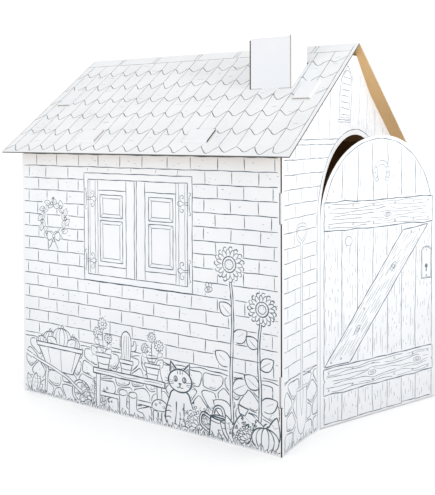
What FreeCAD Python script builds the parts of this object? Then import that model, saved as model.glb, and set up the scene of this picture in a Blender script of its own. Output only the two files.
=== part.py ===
import FreeCAD, Part
import math
import os

# A child's playhouse cut and folded from single-wall corrugated board. Millimetres, +Z up.
# X runs along the ridge, -Y is the long front wall, +X is the gable with the door.
# The origin is on the floor, midway between the outside faces of the four walls.

# Board and folds
BOARD = 4.0                 # thickness of the corrugated board
FOLD_INSIDE_RADIUS = 1.0    # inside radius of a creased fold
SEAT_GAP = 0.3              # air between boards that rest on one another
SLOT_CLEARANCE = 1.0        # slot width beyond the board on each face
SLOT_END_CLEARANCE = 2.0    # slot length beyond the tab at each end

# House body
HOUSE_LENGTH = 1000.0       # outside, along the ridge
HOUSE_DEPTH = 840.0         # outside, front wall to back wall
RIDGE_HEIGHT = 1155.0       # top of the roof above the floor
ROOF_PITCH = 36.1           # degrees
EAVE_OVERHANG = 46.0        # roof beyond the long walls, measured level
GABLE_OVERHANG = 46.0       # roof beyond the gables
PEAK_CUT_DROP = 37.0        # the gables' peaks are cut off level this far below the ridge

# Tabs that tie the wall panels together at two corners
CORNER_TAB_LENGTH = 60.0
CORNER_TAB_HEIGHT = 85.0
LOWER_CORNER_TAB = 133.0    # bottom of the lower tab above the floor
UPPER_CORNER_TAB_DROP = 128.0   # top of the upper tab below the long walls' top edge
CORNER_NOTCH = 3.7          # the long wall's end is cut back this far beside each tab

# Lock tabs that come up through the roof and lie folded on it
LOCK_TAB_LENGTH = 58.0
EAVE_TAB_WIDTH = 84.0
EAVE_TAB_OFFSET = 215.0     # middle of each tab from the middle of the wall
GABLE_TAB_WIDTH = 90.0
GABLE_TAB_FROM_RIDGE = 262.0    # middle of each tab from the ridge, along the slope

# Door
DOOR_WIDTH = 512.0
DOOR_HEIGHT = 870.0         # floor to the top of the round arch
DOOR_CENTRE = 70.0          # doorway's middle behind the gable's middle
DOOR_KNIFE_GAP = 1.0        # cut between the leaf and the doorway
DOOR_CREASE_GAP = 0.15      # each side of the hinge crease
DOOR_FLOOR_GAP = 2.0
DOOR_OPEN_ANGLE = 22.7      # degrees that the leaf stands open

# Chimney
CHIMNEY_FROM_GABLE = 86.5   # right face inside the door gable's outside face
CHIMNEY_WIDTH = 144.0       # outside, along the ridge
CHIMNEY_FRONT = 200.0       # front face ahead of the ridge
CHIMNEY_DEPTH = 108.0
CHIMNEY_RISE = 14.0         # top of the side plates above the ridge
CHIMNEY_LID_DROP = 4.0      # lid below the top of the side plates
CHIMNEY_LID_RADIUS = 4.0    # inside radius of the lid's soft folds
CHIMNEY_TUCK = 45.0         # flap that tucks down inside the back plate
CHIMNEY_FOOT_WIDTH = 70.0   # foot flaps on the side plates, along the slope
CHIMNEY_FOOT_LENGTH = 45.0
CHIMNEY_SLOT_SHOWS = 10.0   # end of each foot slot left showing behind the chimney
FRONT_FOOT_WIDTH = 60.0
FRONT_FOOT_LENGTH = 30.0    # straight tongue below the chimney's front plate

# Worked out from the sizes above
PITCH = math.radians(ROOF_PITCH)
HALF_LENGTH = HOUSE_LENGTH / 2
HALF_DEPTH = HOUSE_DEPTH / 2
ROOF_HALF_LENGTH = HALF_LENGTH + GABLE_OVERHANG
ROOF_HALF_DEPTH = HALF_DEPTH + EAVE_OVERHANG
PEAK_CUT_HEIGHT = RIDGE_HEIGHT - PEAK_CUT_DROP
DOOR_HINGE = DOOR_CENTRE - DOOR_WIDTH / 2
CHIMNEY_RIGHT = HALF_LENGTH - CHIMNEY_FROM_GABLE
CHIMNEY_LEFT = CHIMNEY_RIGHT - CHIMNEY_WIDTH
CHIMNEY_CENTRE = CHIMNEY_RIGHT - CHIMNEY_WIDTH / 2
CHIMNEY_BACK = CHIMNEY_FRONT - CHIMNEY_DEPTH
CHIMNEY_TOP = RIDGE_HEIGHT + CHIMNEY_RISE
CHIMNEY_FOOT_FROM_RIDGE = (CHIMNEY_FRONT + CHIMNEY_BACK) / 2 / math.cos(PITCH)
ABOVE_ALL = CHIMNEY_TOP + HOUSE_DEPTH


def roof_top(y):
    """Height of the roof's outer face at a distance y from the ridge."""
    return RIDGE_HEIGHT - abs(y) * math.tan(PITCH)


def roof_under(y):
    """Height of the roof's inner face at a distance y from the ridge."""
    return roof_top(y) - BOARD / math.cos(PITCH)


WALL_TOP = roof_under(HALF_DEPTH) - SEAT_GAP
UPPER_CORNER_TAB = WALL_TOP - UPPER_CORNER_TAB_DROP - CORNER_TAB_HEIGHT


def box(low, high):
    """Box between two corners."""
    size = [b - a for a, b in zip(low, high)]
    return Part.makeBox(*size, FreeCAD.Vector(*low))


def polygon_face(points):
    """Flat face with straight edges through 3-D points."""
    return Part.Face(Part.makePolygon(points + [points[0]]))


def fold_arc(corner, into, out_of, radius, shrink):
    """Three points of the arc that rounds one fold, shrunk towards its centre."""
    turn = math.acos(max(-1.0, min(1.0, into.dot(out_of))))
    reach = radius * math.tan(turn / 2)
    start = corner - into * reach
    end = corner + out_of * reach
    left = FreeCAD.Vector(-into.y, into.x, 0)
    centre = start + left * radius
    middle = centre + (corner - centre).normalize() * radius
    scale = (radius - shrink) / radius
    return [centre + (p - centre) * scale for p in (start, middle, end)]


def sheet_side(corners, directions, radius, shrink):
    """Edges along one face of a folded sheet, from its first end to its last."""
    left = FreeCAD.Vector(-directions[0].y, directions[0].x, 0)
    here = corners[0] + left * shrink
    edges = []
    for index in range(1, len(corners) - 1):
        arc = fold_arc(corners[index], directions[index - 1], directions[index], radius, shrink)
        edges.append(Part.makeLine(here, arc[0]))
        edges.append(Part.Arc(*arc).toShape())
        here = arc[2]
    left = FreeCAD.Vector(-directions[-1].y, directions[-1].x, 0)
    last = corners[-1] + left * shrink
    edges.append(Part.makeLine(here, last))
    return edges, last


def folded_section(points, inside_radius):
    """Section of a board folded to the left at each corner.

    The points run along the board's outside face, and its thickness lies to their left.
    """
    corners = [FreeCAD.Vector(u, v, 0) for u, v in points]
    directions = [(b - a).normalize() for a, b in zip(corners, corners[1:])]
    radius = inside_radius + BOARD
    outside, outside_end = sheet_side(corners, directions, radius, 0.0)
    inside, inside_end = sheet_side(corners, directions, radius, BOARD)
    first_left = FreeCAD.Vector(-directions[0].y, directions[0].x, 0)
    ends = [Part.makeLine(corners[0], corners[0] + first_left * BOARD)]
    ends.append(Part.makeLine(outside_end, inside_end))
    return Part.Face(Part.Wire(Part.__sortEdges__(outside + inside + ends)))


def along_z(section, low, high):
    """Plan section raised from one height to another."""
    solid = section.extrude(FreeCAD.Vector(0, 0, high - low))
    solid.translate(FreeCAD.Vector(0, 0, low))
    return solid


def along_x(section, low, high):
    """Section drawn in (y, z), carried along X."""
    turn = FreeCAD.Matrix(0, 0, 1, low, 1, 0, 0, 0, 0, 1, 0, 0, 0, 0, 0, 1)
    return section.transformGeometry(turn).extrude(FreeCAD.Vector(high - low, 0, 0))


def along_front_slope(section, from_ridge, width):
    """Section drawn in (x, out of the roof), carried along the front slope.

    Its zero height lies on the roof's outer face; from_ridge is the middle of its width.
    """
    up_slope = FreeCAD.Vector(0, math.cos(PITCH), math.sin(PITCH))
    out = FreeCAD.Vector(0, -math.sin(PITCH), math.cos(PITCH))
    ridge = FreeCAD.Vector(0, 0, RIDGE_HEIGHT)
    start = ridge - up_slope * (from_ridge + width / 2)
    turn = FreeCAD.Matrix(1, 0, 0, start.x, 0, out.y, 0, start.y, 0, out.z, 0, start.z, 0, 0, 0, 1)
    turn.A13, turn.A23, turn.A33 = up_slope.x, up_slope.y, up_slope.z
    return section.transformGeometry(turn).extrude(up_slope * width)


def half_turn(shape):
    """The same shape turned half a turn about the upright middle line of the house."""
    turned = shape.copy()
    turned.rotate(FreeCAD.Vector(0, 0, 0), FreeCAD.Vector(0, 0, 1), 180)
    return turned


def mirror_x(shape):
    return shape.mirror(FreeCAD.Vector(0, 0, 0), FreeCAD.Vector(1, 0, 0))


def mirror_y(shape):
    return shape.mirror(FreeCAD.Vector(0, 0, 0), FreeCAD.Vector(0, 1, 0))


# ---------------------------------------------------------------- tabs and their slots

def eave_tab():
    """Lock tab at the middle of the front wall: up through the roof, folded up the slope."""
    rise = (SEAT_GAP + BOARD) / math.cos(PITCH)
    fold = (-HALF_DEPTH, roof_top(HALF_DEPTH) + rise)
    tip = (fold[0] + LOCK_TAB_LENGTH * math.cos(PITCH), fold[1] + LOCK_TAB_LENGTH * math.sin(PITCH))
    root = (-HALF_DEPTH, WALL_TOP - BOARD)
    section = folded_section([tip, fold, root], FOLD_INSIDE_RADIUS)
    return along_x(section, -EAVE_TAB_WIDTH / 2, EAVE_TAB_WIDTH / 2)


def eave_slot():
    """Upright slot through the front slope for one eave tab."""
    half = EAVE_TAB_WIDTH / 2 + SLOT_END_CLEARANCE
    front = -HALF_DEPTH - SLOT_CLEARANCE
    back = -HALF_DEPTH + BOARD + SLOT_CLEARANCE
    low = roof_under(front) - BOARD
    return box((-half, front, low), (half, back, roof_top(back) + BOARD))


def gable_tab():
    """Lock tab of the door gable on the front slope, folded in over the roof."""
    root = (HALF_LENGTH, -3 * BOARD)
    fold = (HALF_LENGTH, SEAT_GAP + BOARD)
    tip = (HALF_LENGTH - LOCK_TAB_LENGTH, SEAT_GAP + BOARD)
    section = folded_section([root, fold, tip], FOLD_INSIDE_RADIUS)
    return along_front_slope(section, GABLE_TAB_FROM_RIDGE, GABLE_TAB_WIDTH)


def slope_slot(face_x, from_ridge, length):
    """Slot square through the front slope for a board whose outside face is at face_x."""
    near = face_x + SLOT_CLEARANCE
    far = face_x - BOARD - SLOT_CLEARANCE
    corners = [(near, -2 * BOARD), (near, BOARD), (far, BOARD), (far, -2 * BOARD)]
    section = polygon_face([FreeCAD.Vector(x, h, 0) for x, h in corners])
    return along_front_slope(section, from_ridge, length)


def corner_tab(bottom):
    """Tab of the door gable, folded round the near corner and lying behind the front wall."""
    face = -HALF_DEPTH + BOARD + SEAT_GAP
    points = [(HALF_LENGTH - CORNER_TAB_LENGTH, face), (HALF_LENGTH, face)]
    points.append((HALF_LENGTH, face + 4 * BOARD))
    section = folded_section(points, FOLD_INSIDE_RADIUS)
    return along_z(section, bottom, bottom + CORNER_TAB_HEIGHT)


def corner_tab_clearing(bottom):
    """What is cut from the gable's edge so that a corner tab can fold."""
    low = (HALF_LENGTH - 2 * BOARD, -HALF_DEPTH - BOARD, bottom)
    reach = -HALF_DEPTH + BOARD + SEAT_GAP + FOLD_INSIDE_RADIUS + BOARD
    return box(low, (HALF_LENGTH + BOARD, reach, bottom + CORNER_TAB_HEIGHT))


def corner_notch(wall_end, bottom):
    """What is cut from the back wall's end so that the other panel's corner tab can pass it."""
    low = (wall_end - BOARD, HALF_DEPTH - 2 * BOARD, bottom)
    return box(low, (wall_end + CORNER_NOTCH, HALF_DEPTH + BOARD, bottom + CORNER_TAB_HEIGHT))


# ---------------------------------------------------------------- wall panels

def gable_outline():
    """Solid prism of the house's end view, just under the roof and cut off at the peak."""
    peak_half = (roof_under(0) - SEAT_GAP - PEAK_CUT_HEIGHT) / math.tan(PITCH)
    corners = [(-HALF_DEPTH, 0), (HALF_DEPTH, 0), (HALF_DEPTH, WALL_TOP)]
    corners += [(peak_half, PEAK_CUT_HEIGHT), (-peak_half, PEAK_CUT_HEIGHT), (-HALF_DEPTH, WALL_TOP)]
    face = polygon_face([FreeCAD.Vector(-HALF_LENGTH - BOARD, y, z) for y, z in corners])
    return face.extrude(FreeCAD.Vector(HOUSE_LENGTH + 2 * BOARD, 0, 0))


def wall_panel():
    """Gable at +X and back wall, one board folded at the back right corner.

    The gable's edge closes the end of the front wall, and its two tabs fold in behind it.
    """
    long_wall_end = -HALF_LENGTH + BOARD + SEAT_GAP
    path = [(HALF_LENGTH, -HALF_DEPTH), (HALF_LENGTH, HALF_DEPTH), (long_wall_end, HALF_DEPTH)]
    panel = along_z(folded_section(path, FOLD_INSIDE_RADIUS), 0, ABOVE_ALL)
    panel = panel.common(gable_outline())
    square_top = box((-HALF_LENGTH, HALF_DEPTH - BOARD, WALL_TOP),
                     (HALF_LENGTH - BOARD, HALF_DEPTH + BOARD, ABOVE_ALL))
    panel = panel.cut(square_top)
    bottoms = (LOWER_CORNER_TAB, UPPER_CORNER_TAB)
    panel = panel.cut([corner_tab_clearing(bottom) for bottom in bottoms])
    panel = panel.cut([corner_notch(long_wall_end, bottom) for bottom in bottoms])
    tabs = [corner_tab(bottom) for bottom in bottoms]
    for side in (-1, 1):
        tab = mirror_y(eave_tab())
        tab.translate(FreeCAD.Vector(side * EAVE_TAB_OFFSET, 0, 0))
        tabs.append(tab)
    tabs += [gable_tab(), mirror_y(gable_tab())]
    return panel.fuse(tabs).removeSplitter()


def arch_prism(low_x, high_x, side_gap, hinge_gap, bottom):
    """Round-topped door shape through the gable, drawn in by the gaps."""
    left = DOOR_HINGE + hinge_gap
    right = DOOR_HINGE + DOOR_WIDTH - side_gap
    radius = DOOR_WIDTH / 2 - side_gap
    spring = DOOR_HEIGHT - DOOR_WIDTH / 2
    centre = FreeCAD.Vector(low_x, DOOR_CENTRE, spring)
    round_top = Part.makeCylinder(radius, high_x - low_x, centre, FreeCAD.Vector(1, 0, 0))
    square = box((low_x, left, bottom), (high_x, right, spring))
    lower_half = box((low_x, left - BOARD, bottom), (high_x, right + BOARD, spring))
    return round_top.cut(lower_half).fuse(square).removeSplitter()


def doorway():
    """The hole that the door leaf leaves in the gable, down to the floor."""
    below_floor = -BOARD
    hinge_side = -DOOR_CREASE_GAP
    return arch_prism(HALF_LENGTH - 2 * BOARD, HALF_LENGTH + BOARD, 0.0, hinge_side, below_floor)


def door_leaf():
    """Door leaf of the same board, standing open about the crease on its near side."""
    leaf = arch_prism(HALF_LENGTH - BOARD, HALF_LENGTH, DOOR_KNIFE_GAP, DOOR_CREASE_GAP, DOOR_FLOOR_GAP)
    crease = FreeCAD.Vector(HALF_LENGTH, DOOR_HINGE, 0)
    leaf.rotate(crease, FreeCAD.Vector(0, 0, -1), DOOR_OPEN_ANGLE)
    return leaf


# ---------------------------------------------------------------- chimney

def above_roof(lift):
    """Everything above the front slope, lifted a little off the roof's outer face."""
    rise = lift / math.cos(PITCH)
    reach = ROOF_HALF_DEPTH
    corners = [(-reach, roof_top(reach) + rise), (0, RIDGE_HEIGHT + rise)]
    corners += [(0, ABOVE_ALL), (-reach, ABOVE_ALL)]
    face = polygon_face([FreeCAD.Vector(-ROOF_HALF_LENGTH, y, z) for y, z in corners])
    return face.extrude(FreeCAD.Vector(2 * ROOF_HALF_LENGTH, 0, 0))


def chimney_foot():
    """Foot of the right side plate: down through the roof and folded in under it."""
    under = -(BOARD + SEAT_GAP + BOARD)
    tip = (CHIMNEY_RIGHT - CHIMNEY_FOOT_LENGTH, under)
    points = [tip, (CHIMNEY_RIGHT, under), (CHIMNEY_RIGHT, 2 * BOARD)]
    section = folded_section(points, FOLD_INSIDE_RADIUS)
    return along_front_slope(section, CHIMNEY_FOOT_FROM_RIDGE, CHIMNEY_FOOT_WIDTH)


def mirror_chimney(shape):
    """The same shape on the other side of the chimney's middle."""
    return shape.mirror(FreeCAD.Vector(CHIMNEY_CENTRE, 0, 0), FreeCAD.Vector(1, 0, 0))


def chimney_shell():
    """Side, back and side plates of the chimney, one board with two folds and two feet."""
    path = [(CHIMNEY_RIGHT, -CHIMNEY_FRONT), (CHIMNEY_RIGHT, -CHIMNEY_BACK)]
    path += [(CHIMNEY_LEFT, -CHIMNEY_BACK), (CHIMNEY_LEFT, -CHIMNEY_FRONT)]
    low = roof_under(CHIMNEY_FRONT)
    shell = along_z(folded_section(path, FOLD_INSIDE_RADIUS), low, CHIMNEY_TOP)
    shell = shell.common(above_roof(SEAT_GAP))
    feet = [chimney_foot(), mirror_chimney(chimney_foot())]
    return shell.fuse(feet).removeSplitter()


def chimney_front():
    """Front plate, lid and tuck flap, one board folded over the top of the chimney."""
    lid = CHIMNEY_TOP - CHIMNEY_LID_DROP
    back = -CHIMNEY_BACK - BOARD - FOLD_INSIDE_RADIUS
    bottom = roof_top(CHIMNEY_FRONT - BOARD) + SEAT_GAP
    path = [(back, lid - CHIMNEY_TUCK), (back, lid), (-CHIMNEY_FRONT, lid), (-CHIMNEY_FRONT, bottom)]
    section = folded_section(path, CHIMNEY_LID_RADIUS)
    half = CHIMNEY_WIDTH / 2 - BOARD - SEAT_GAP
    cover = along_x(section, CHIMNEY_CENTRE - half, CHIMNEY_CENTRE + half)
    foot_bottom = roof_under(CHIMNEY_FRONT) - FRONT_FOOT_LENGTH
    foot = box((CHIMNEY_CENTRE - FRONT_FOOT_WIDTH / 2, -CHIMNEY_FRONT, foot_bottom),
               (CHIMNEY_CENTRE + FRONT_FOOT_WIDTH / 2, -CHIMNEY_FRONT + BOARD, bottom + BOARD))
    return cover.fuse(foot).removeSplitter()


def chimney_slots():
    """Slots in the front slope for the chimney's three feet."""
    lower_end = CHIMNEY_FOOT_FROM_RIDGE + CHIMNEY_FOOT_WIDTH / 2 + SLOT_END_CLEARANCE
    upper_end = CHIMNEY_BACK / math.cos(PITCH) - CHIMNEY_SLOT_SHOWS
    side = slope_slot(CHIMNEY_RIGHT, (lower_end + upper_end) / 2, lower_end - upper_end)
    half = FRONT_FOOT_WIDTH / 2 + SLOT_END_CLEARANCE
    front = -CHIMNEY_FRONT - SLOT_CLEARANCE
    back = -CHIMNEY_FRONT + BOARD + SLOT_CLEARANCE
    low = roof_under(front) - BOARD
    tongue = box((CHIMNEY_CENTRE - half, front, low), (CHIMNEY_CENTRE + half, back, roof_top(back) + BOARD))
    return [side, mirror_chimney(side), tongue]


# ---------------------------------------------------------------- roof

def roof_panel():
    """One board folded along the ridge, with a slot for each lock tab and chimney foot."""
    eave = roof_top(ROOF_HALF_DEPTH)
    path = [(ROOF_HALF_DEPTH, eave), (0, RIDGE_HEIGHT), (-ROOF_HALF_DEPTH, eave)]
    roof = along_x(folded_section(path, FOLD_INSIDE_RADIUS), -ROOF_HALF_LENGTH, ROOF_HALF_LENGTH)
    slots = []
    for side in (-1, 1):
        slot = eave_slot()
        slot.translate(FreeCAD.Vector(side * EAVE_TAB_OFFSET, 0, 0))
        slots += [slot, mirror_y(slot)]
    gable_slot = slope_slot(HALF_LENGTH, GABLE_TAB_FROM_RIDGE, GABLE_TAB_WIDTH + 2 * SLOT_END_CLEARANCE)
    slots += [gable_slot, mirror_x(gable_slot), mirror_y(gable_slot), half_turn(gable_slot)]
    return roof.cut(slots + chimney_slots()).removeSplitter()


def export(shape, name):
    """Write one sub-part as a single solid."""
    solids = shape.Solids
    if len(solids) != 1 or not solids[0].isValid():
        raise ValueError(name + " is not one valid solid")
    solids[0].exportStep("parts/" + name + ".step")


os.makedirs("parts", exist_ok=True)
plain_panel = wall_panel()
export(half_turn(plain_panel), "front_wall_panel")
export(plain_panel.cut(doorway()), "back_wall_panel")
export(door_leaf(), "door_leaf")
export(roof_panel(), "roof_panel")
export(chimney_shell(), "chimney_shell")
export(chimney_front(), "chimney_front")
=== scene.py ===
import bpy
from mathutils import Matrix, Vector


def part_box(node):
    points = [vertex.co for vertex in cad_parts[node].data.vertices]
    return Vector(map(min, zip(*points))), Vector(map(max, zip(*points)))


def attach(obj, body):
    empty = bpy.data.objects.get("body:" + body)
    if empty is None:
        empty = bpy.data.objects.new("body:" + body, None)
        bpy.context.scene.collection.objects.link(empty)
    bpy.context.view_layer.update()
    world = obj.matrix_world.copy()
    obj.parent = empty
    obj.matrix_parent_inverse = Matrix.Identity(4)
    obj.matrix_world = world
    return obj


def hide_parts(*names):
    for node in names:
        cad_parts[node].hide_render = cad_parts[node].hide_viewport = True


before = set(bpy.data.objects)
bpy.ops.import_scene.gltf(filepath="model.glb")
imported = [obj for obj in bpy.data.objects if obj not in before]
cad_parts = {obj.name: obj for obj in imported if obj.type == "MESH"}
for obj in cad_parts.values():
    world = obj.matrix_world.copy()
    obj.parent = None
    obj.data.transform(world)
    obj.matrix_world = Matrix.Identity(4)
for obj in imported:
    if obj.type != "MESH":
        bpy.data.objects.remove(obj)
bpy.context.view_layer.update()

import math

import bpy
import numpy as np
from mathutils import Matrix, Vector
from mathutils.geometry import delaunay_2d_cdt

MM = 0.001              # sizes are in millimetres, and leave the script in metres
rng = np.random.default_rng(12)


# ------------------------------------------------------------------ camera and studio
# A camera a little above the middle of the door, off the corner between the window wall and
# the door. The floor is plain and pale, under an even white sky and two large soft lamps.

CAMERA_AT = (1.4698, -2.2165, 0.8808)
CAMERA_YAW, CAMERA_PITCH, CAMERA_ROLL = 0.5794, 0.022, 0.0032
FLOOR_REACH = 30.0      # metres, out of sight on every side


def add_object(name, data):
    """A new object in the scene, at the origin."""
    thing = bpy.data.objects.new(name, data)
    bpy.context.scene.collection.objects.link(thing)
    return thing


def fill_in(node, inputs):
    """Set a node's inputs, each to a value or to what another node gives."""
    for key, value in inputs.items():
        if isinstance(value, bpy.types.Node):
            value = value.outputs[0]
        if isinstance(value, bpy.types.NodeSocket):
            node.id_data.links.new(value, node.inputs[key])
        else:
            node.inputs[key].default_value = value
    return node


def new_material(name, inputs):
    """A material and its shader, with these settings."""
    material = bpy.data.materials.new(name)
    material.use_nodes = True
    return material, fill_in(material.node_tree.nodes["Principled BSDF"], inputs)


lens = bpy.data.cameras.new("camera")
lens.sensor_fit, lens.sensor_width = "HORIZONTAL", 36.0
lens.lens, lens.shift_y = 63.0, -0.228
camera = add_object("camera", lens)
turn = Matrix.Rotation(CAMERA_YAW, 3, "Z") @ Matrix.Rotation(math.pi / 2 - CAMERA_PITCH, 3, "X")
turn = turn @ Matrix.Rotation(-CAMERA_ROLL, 3, "Z")
camera.matrix_world = Matrix.Translation(CAMERA_AT) @ turn.to_4x4()
bpy.context.scene.camera = camera

bpy.context.scene.view_settings.view_transform = "Standard"
sky = bpy.data.worlds.new("studio")
sky.use_nodes = True
fill_in(sky.node_tree.nodes["Background"], {"Color": (1.0, 1.0, 1.0, 1.0), "Strength": 1.08})
bpy.context.scene.world = sky


def soft_lamp(name, at, towards, radius, power, beam):
    """Large round lamp whose beam, in degrees, fades evenly from its middle to its rim."""
    data = bpy.data.lights.new(name, "SPOT")
    data.shadow_soft_size, data.energy = radius, power
    data.spot_size, data.spot_blend = math.radians(beam), 1.0
    lamp = add_object(name, data)
    lamp.location = at
    lamp.rotation_euler = (Vector(towards) - Vector(at)).to_track_quat("-Z", "Y").to_euler()


soft_lamp("lamp_door_side", (3.4, -0.9, 1.3), (0.5, 0.0, 1.05), 0.6, 250.0, 39.0)
soft_lamp("lamp_window_side", (-0.6, -3.3, 0.4), (-0.2, -0.42, 0.65), 0.7, 105.0, 35.0)

floor_mesh = bpy.data.meshes.new("floor")
floor_corners = [(x * FLOOR_REACH, y * FLOOR_REACH, 0) for x, y in ((-1, -1), (1, -1), (1, 1), (-1, 1))]
floor_mesh.from_pydata(floor_corners, [], [(0, 1, 2, 3)])
floor_paint = {"Base Color": (0.955, 0.955, 0.955, 1), "Roughness": 0.9, "Specular IOR Level": 0.0,
               "Emission Color": (1, 1, 1, 1), "Emission Strength": 0.08}
floor_mesh.materials.append(new_material("floor_paint", floor_paint)[0])
floor = add_object("floor", floor_mesh)


# ------------------------------------------------------------------ front wall panel
# One sheet of single-wall corrugated board, 4 mm thick: white paper outside for colouring,
# bare kraft inside. It is folded once, and makes the far gable and the long wall with the
# window. Its top has two lock tabs over the window wall and two over the gable.

BOARD = 4.0             # board thickness
FOLD_RADIUS = 5.0       # outside radius of a crease
SEAT_GAP = 0.3          # air between boards that rest on one another
LINER = 0.35            # thickness of each paper face
FLUTE_PITCH = 7.2       # from one flute to the next
FLUTE_PAPER = 0.25      # thickness of the fluted sheet
FLUTE_INSET = 0.3       # it ends this far inside the faces' edges
FLUTE_STEP = 0.9        # longest straight bit of a flute
EDGE_DEPTH = 3.0        # how far one sees into a cut edge
CRUSHED_DEPTH = 0.7     # the same where the cutting die has closed the edge
ROOF_PITCH = math.radians(36.1)
SIN, COS, TAN = math.sin(ROOF_PITCH), math.cos(ROOF_PITCH), math.tan(ROOF_PITCH)

wall_low, wall_high = (np.array(corner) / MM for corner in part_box("front_wall_panel"))
HALF_LENGTH = -wall_low[0]
HALF_DEPTH, PEAK = wall_high[1:]
ROOF_HALF_LENGTH, ROOF_HALF_DEPTH = np.array(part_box("roof_panel")[1][:2]) / MM
RIDGE = 1155.0
WALL_TOP = RIDGE - HALF_DEPTH * TAN - BOARD / COS - SEAT_GAP
GABLE_TOP = RIDGE - (BOARD + SEAT_GAP) / COS        # where the gable's slopes would meet
EAVE_TAB_WIDTH, EAVE_TAB_OFFSET = 84.0, 215.0
GABLE_TAB_WIDTH, GABLE_TAB_FROM_RIDGE = 90.0, 262.0
LOCK_TAB_LENGTH = 58.0
CORNER_TAB_HEIGHT, CORNER_TAB_LENGTH = 85.0, 60.0
CORNER_TAB_BOTTOMS = (133.0, WALL_TOP - 128.0 - CORNER_TAB_HEIGHT)
CORNER_NOTCH = 3.7      # a long wall's end is cut back this far beside each corner tab
DOORWAY_HINGE_SIDE = -186.15
LEAN_DOOR_GABLE, LEAN_FAR_GABLE = 19.0, 9.0         # how far the cut-off peaks lean out
LEAN_FROM, LEAN_HALF_WIDTH = 780.0, 205.0
PIER_DIP = 4.0          # how far the wide pier, beside the door's hinge, bends in
PIER_DIP_TOP, PIER_DIP_FADE = 860.0, 300.0


def left_of(ways):
    """Each direction turned a quarter to its left."""
    return np.stack([-ways[:, 1], ways[:, 0]], 1)


def folded(corners, radius=FOLD_RADIUS):
    """Section of a board that is folded to the left at each corner.

    s runs along the outside face from corner to corner, and depth goes into the board. A point
    on a straight run is its start, plus s along it, plus depth to its left. Within reach of a
    corner it is the fold's centre plus (radius - depth) along an angle that turns evenly with s.
    """
    corners = np.array(corners, float)
    runs = np.diff(corners, axis=0)
    lengths = np.hypot(runs[:, 0], runs[:, 1])
    ways = runs / lengths[:, None]
    lefts = left_of(ways)
    starts = np.concatenate([[0.0], np.cumsum(lengths)])
    angles = [math.acos(np.clip(before @ after, -1, 1)) for before, after in zip(ways, ways[1:])]
    reaches = [radius * math.tan(angle / 2) for angle in angles]

    def section(s, depth):
        s, depth = np.broadcast_arrays(np.asarray(s, float), np.asarray(depth, float))
        k = np.clip(np.searchsorted(starts, s, side="right") - 1, 0, len(ways) - 1)
        at = corners[k] + ways[k] * (s - starts[k])[..., None] + lefts[k] * depth[..., None]
        for i, (angle, reach) in enumerate(zip(angles, reaches)):
            near = np.abs(s - starts[i + 1]) < reach
            centre = corners[i + 1] - ways[i] * reach + lefts[i] * radius
            out = math.atan2(-lefts[i][1], -lefts[i][0])
            now = out + angle * (s[near] - starts[i + 1] + reach) / (2 * reach)
            at[near] = centre + (radius - depth[near])[:, None] * np.stack([np.cos(now), np.sin(now)], 1)
        return at

    section.creases = list(zip(starts[1:], reaches))
    section.length = starts[-1]
    return section


def settled(points):
    """Where the walls really stand. Each gable's cut-off peak leans out: most at the middle, by
    the height above LEAN_FROM to a power, times one minus the square of the distance from the
    middle. The wide pier, beside the door's hinge, dips in as half a sine wave across it, and
    the dip fades out towards the arch's top."""
    x, y, z = points[..., 0], points[..., 1], points[..., 2]
    rise = np.clip((z - LEAN_FROM) / (PEAK - LEAN_FROM), 0, 1) ** 1.7
    most = np.where(x > 0, LEAN_DOOR_GABLE, LEAN_FAR_GABLE)
    lean = most * rise * np.clip(1 - (y / LEAN_HALF_WIDTH) ** 2, 0, 1)
    gable = np.abs(x) > HALF_LENGTH - BOARD - 1.0
    bent = points.copy()
    bent[..., 0] += np.where(gable, np.sign(x) * lean, 0.0)
    across = np.clip((y + HALF_DEPTH) / (HALF_DEPTH + DOORWAY_HINGE_SIDE), 0, 1)
    dip = PIER_DIP * np.sin(math.pi * across) * np.clip((PIER_DIP_TOP - z) / PIER_DIP_FADE, 0, 1)
    bent[..., 0] -= np.where(gable & (x > 0), dip, 0.0)
    return bent


def upright(section, bend=settled):
    """Board that stands up: its section is a plan, and t is the height."""
    def place(s, t, depth=0.0):
        plan = section(s, depth)
        return bend(np.stack([plan[..., 0], plan[..., 1], np.broadcast_to(t, plan[..., 0].shape)], -1)) * MM
    return place


def level(section):
    """Board that runs along the ridge: its section is drawn in (y, z), and t is along X."""
    def place(s, t, depth=0.0):
        side = section(s, depth)
        return np.stack([np.broadcast_to(t, side[..., 0].shape), side[..., 0], side[..., 1]], -1) * MM
    return place


def inside(points, loops):
    """Even-odd test: a point is inside if a line from it to the right crosses the loops an odd
    number of times."""
    crossings = np.zeros(len(points), int)
    x, y = points[:, :1], points[:, 1:]
    for a in loops:
        b = np.roll(a, -1, 0)
        spans = (a[:, 1] > y) != (b[:, 1] > y)
        rise = np.where(b[:, 1] == a[:, 1], 1e-9, b[:, 1] - a[:, 1])
        crossings += (spans & (x < a[:, 0] + (y - a[:, 1]) * (b[:, 0] - a[:, 0]) / rise)).sum(1)
    return crossings % 2 == 1


def edge_distance(points, loops):
    """Shortest distance from each point to the loops' straight sides."""
    best = np.full(len(points), np.inf)
    for loop in loops:
        side = np.roll(loop, -1, 0) - loop
        rel = points[:, None] - loop[None]
        along = np.clip((rel * side).sum(2) / np.maximum((side * side).sum(1), 1e-9), 0, 1)
        best = np.minimum(best, np.linalg.norm(rel - along[..., None] * side, axis=2).min(1))
    return best


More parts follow.
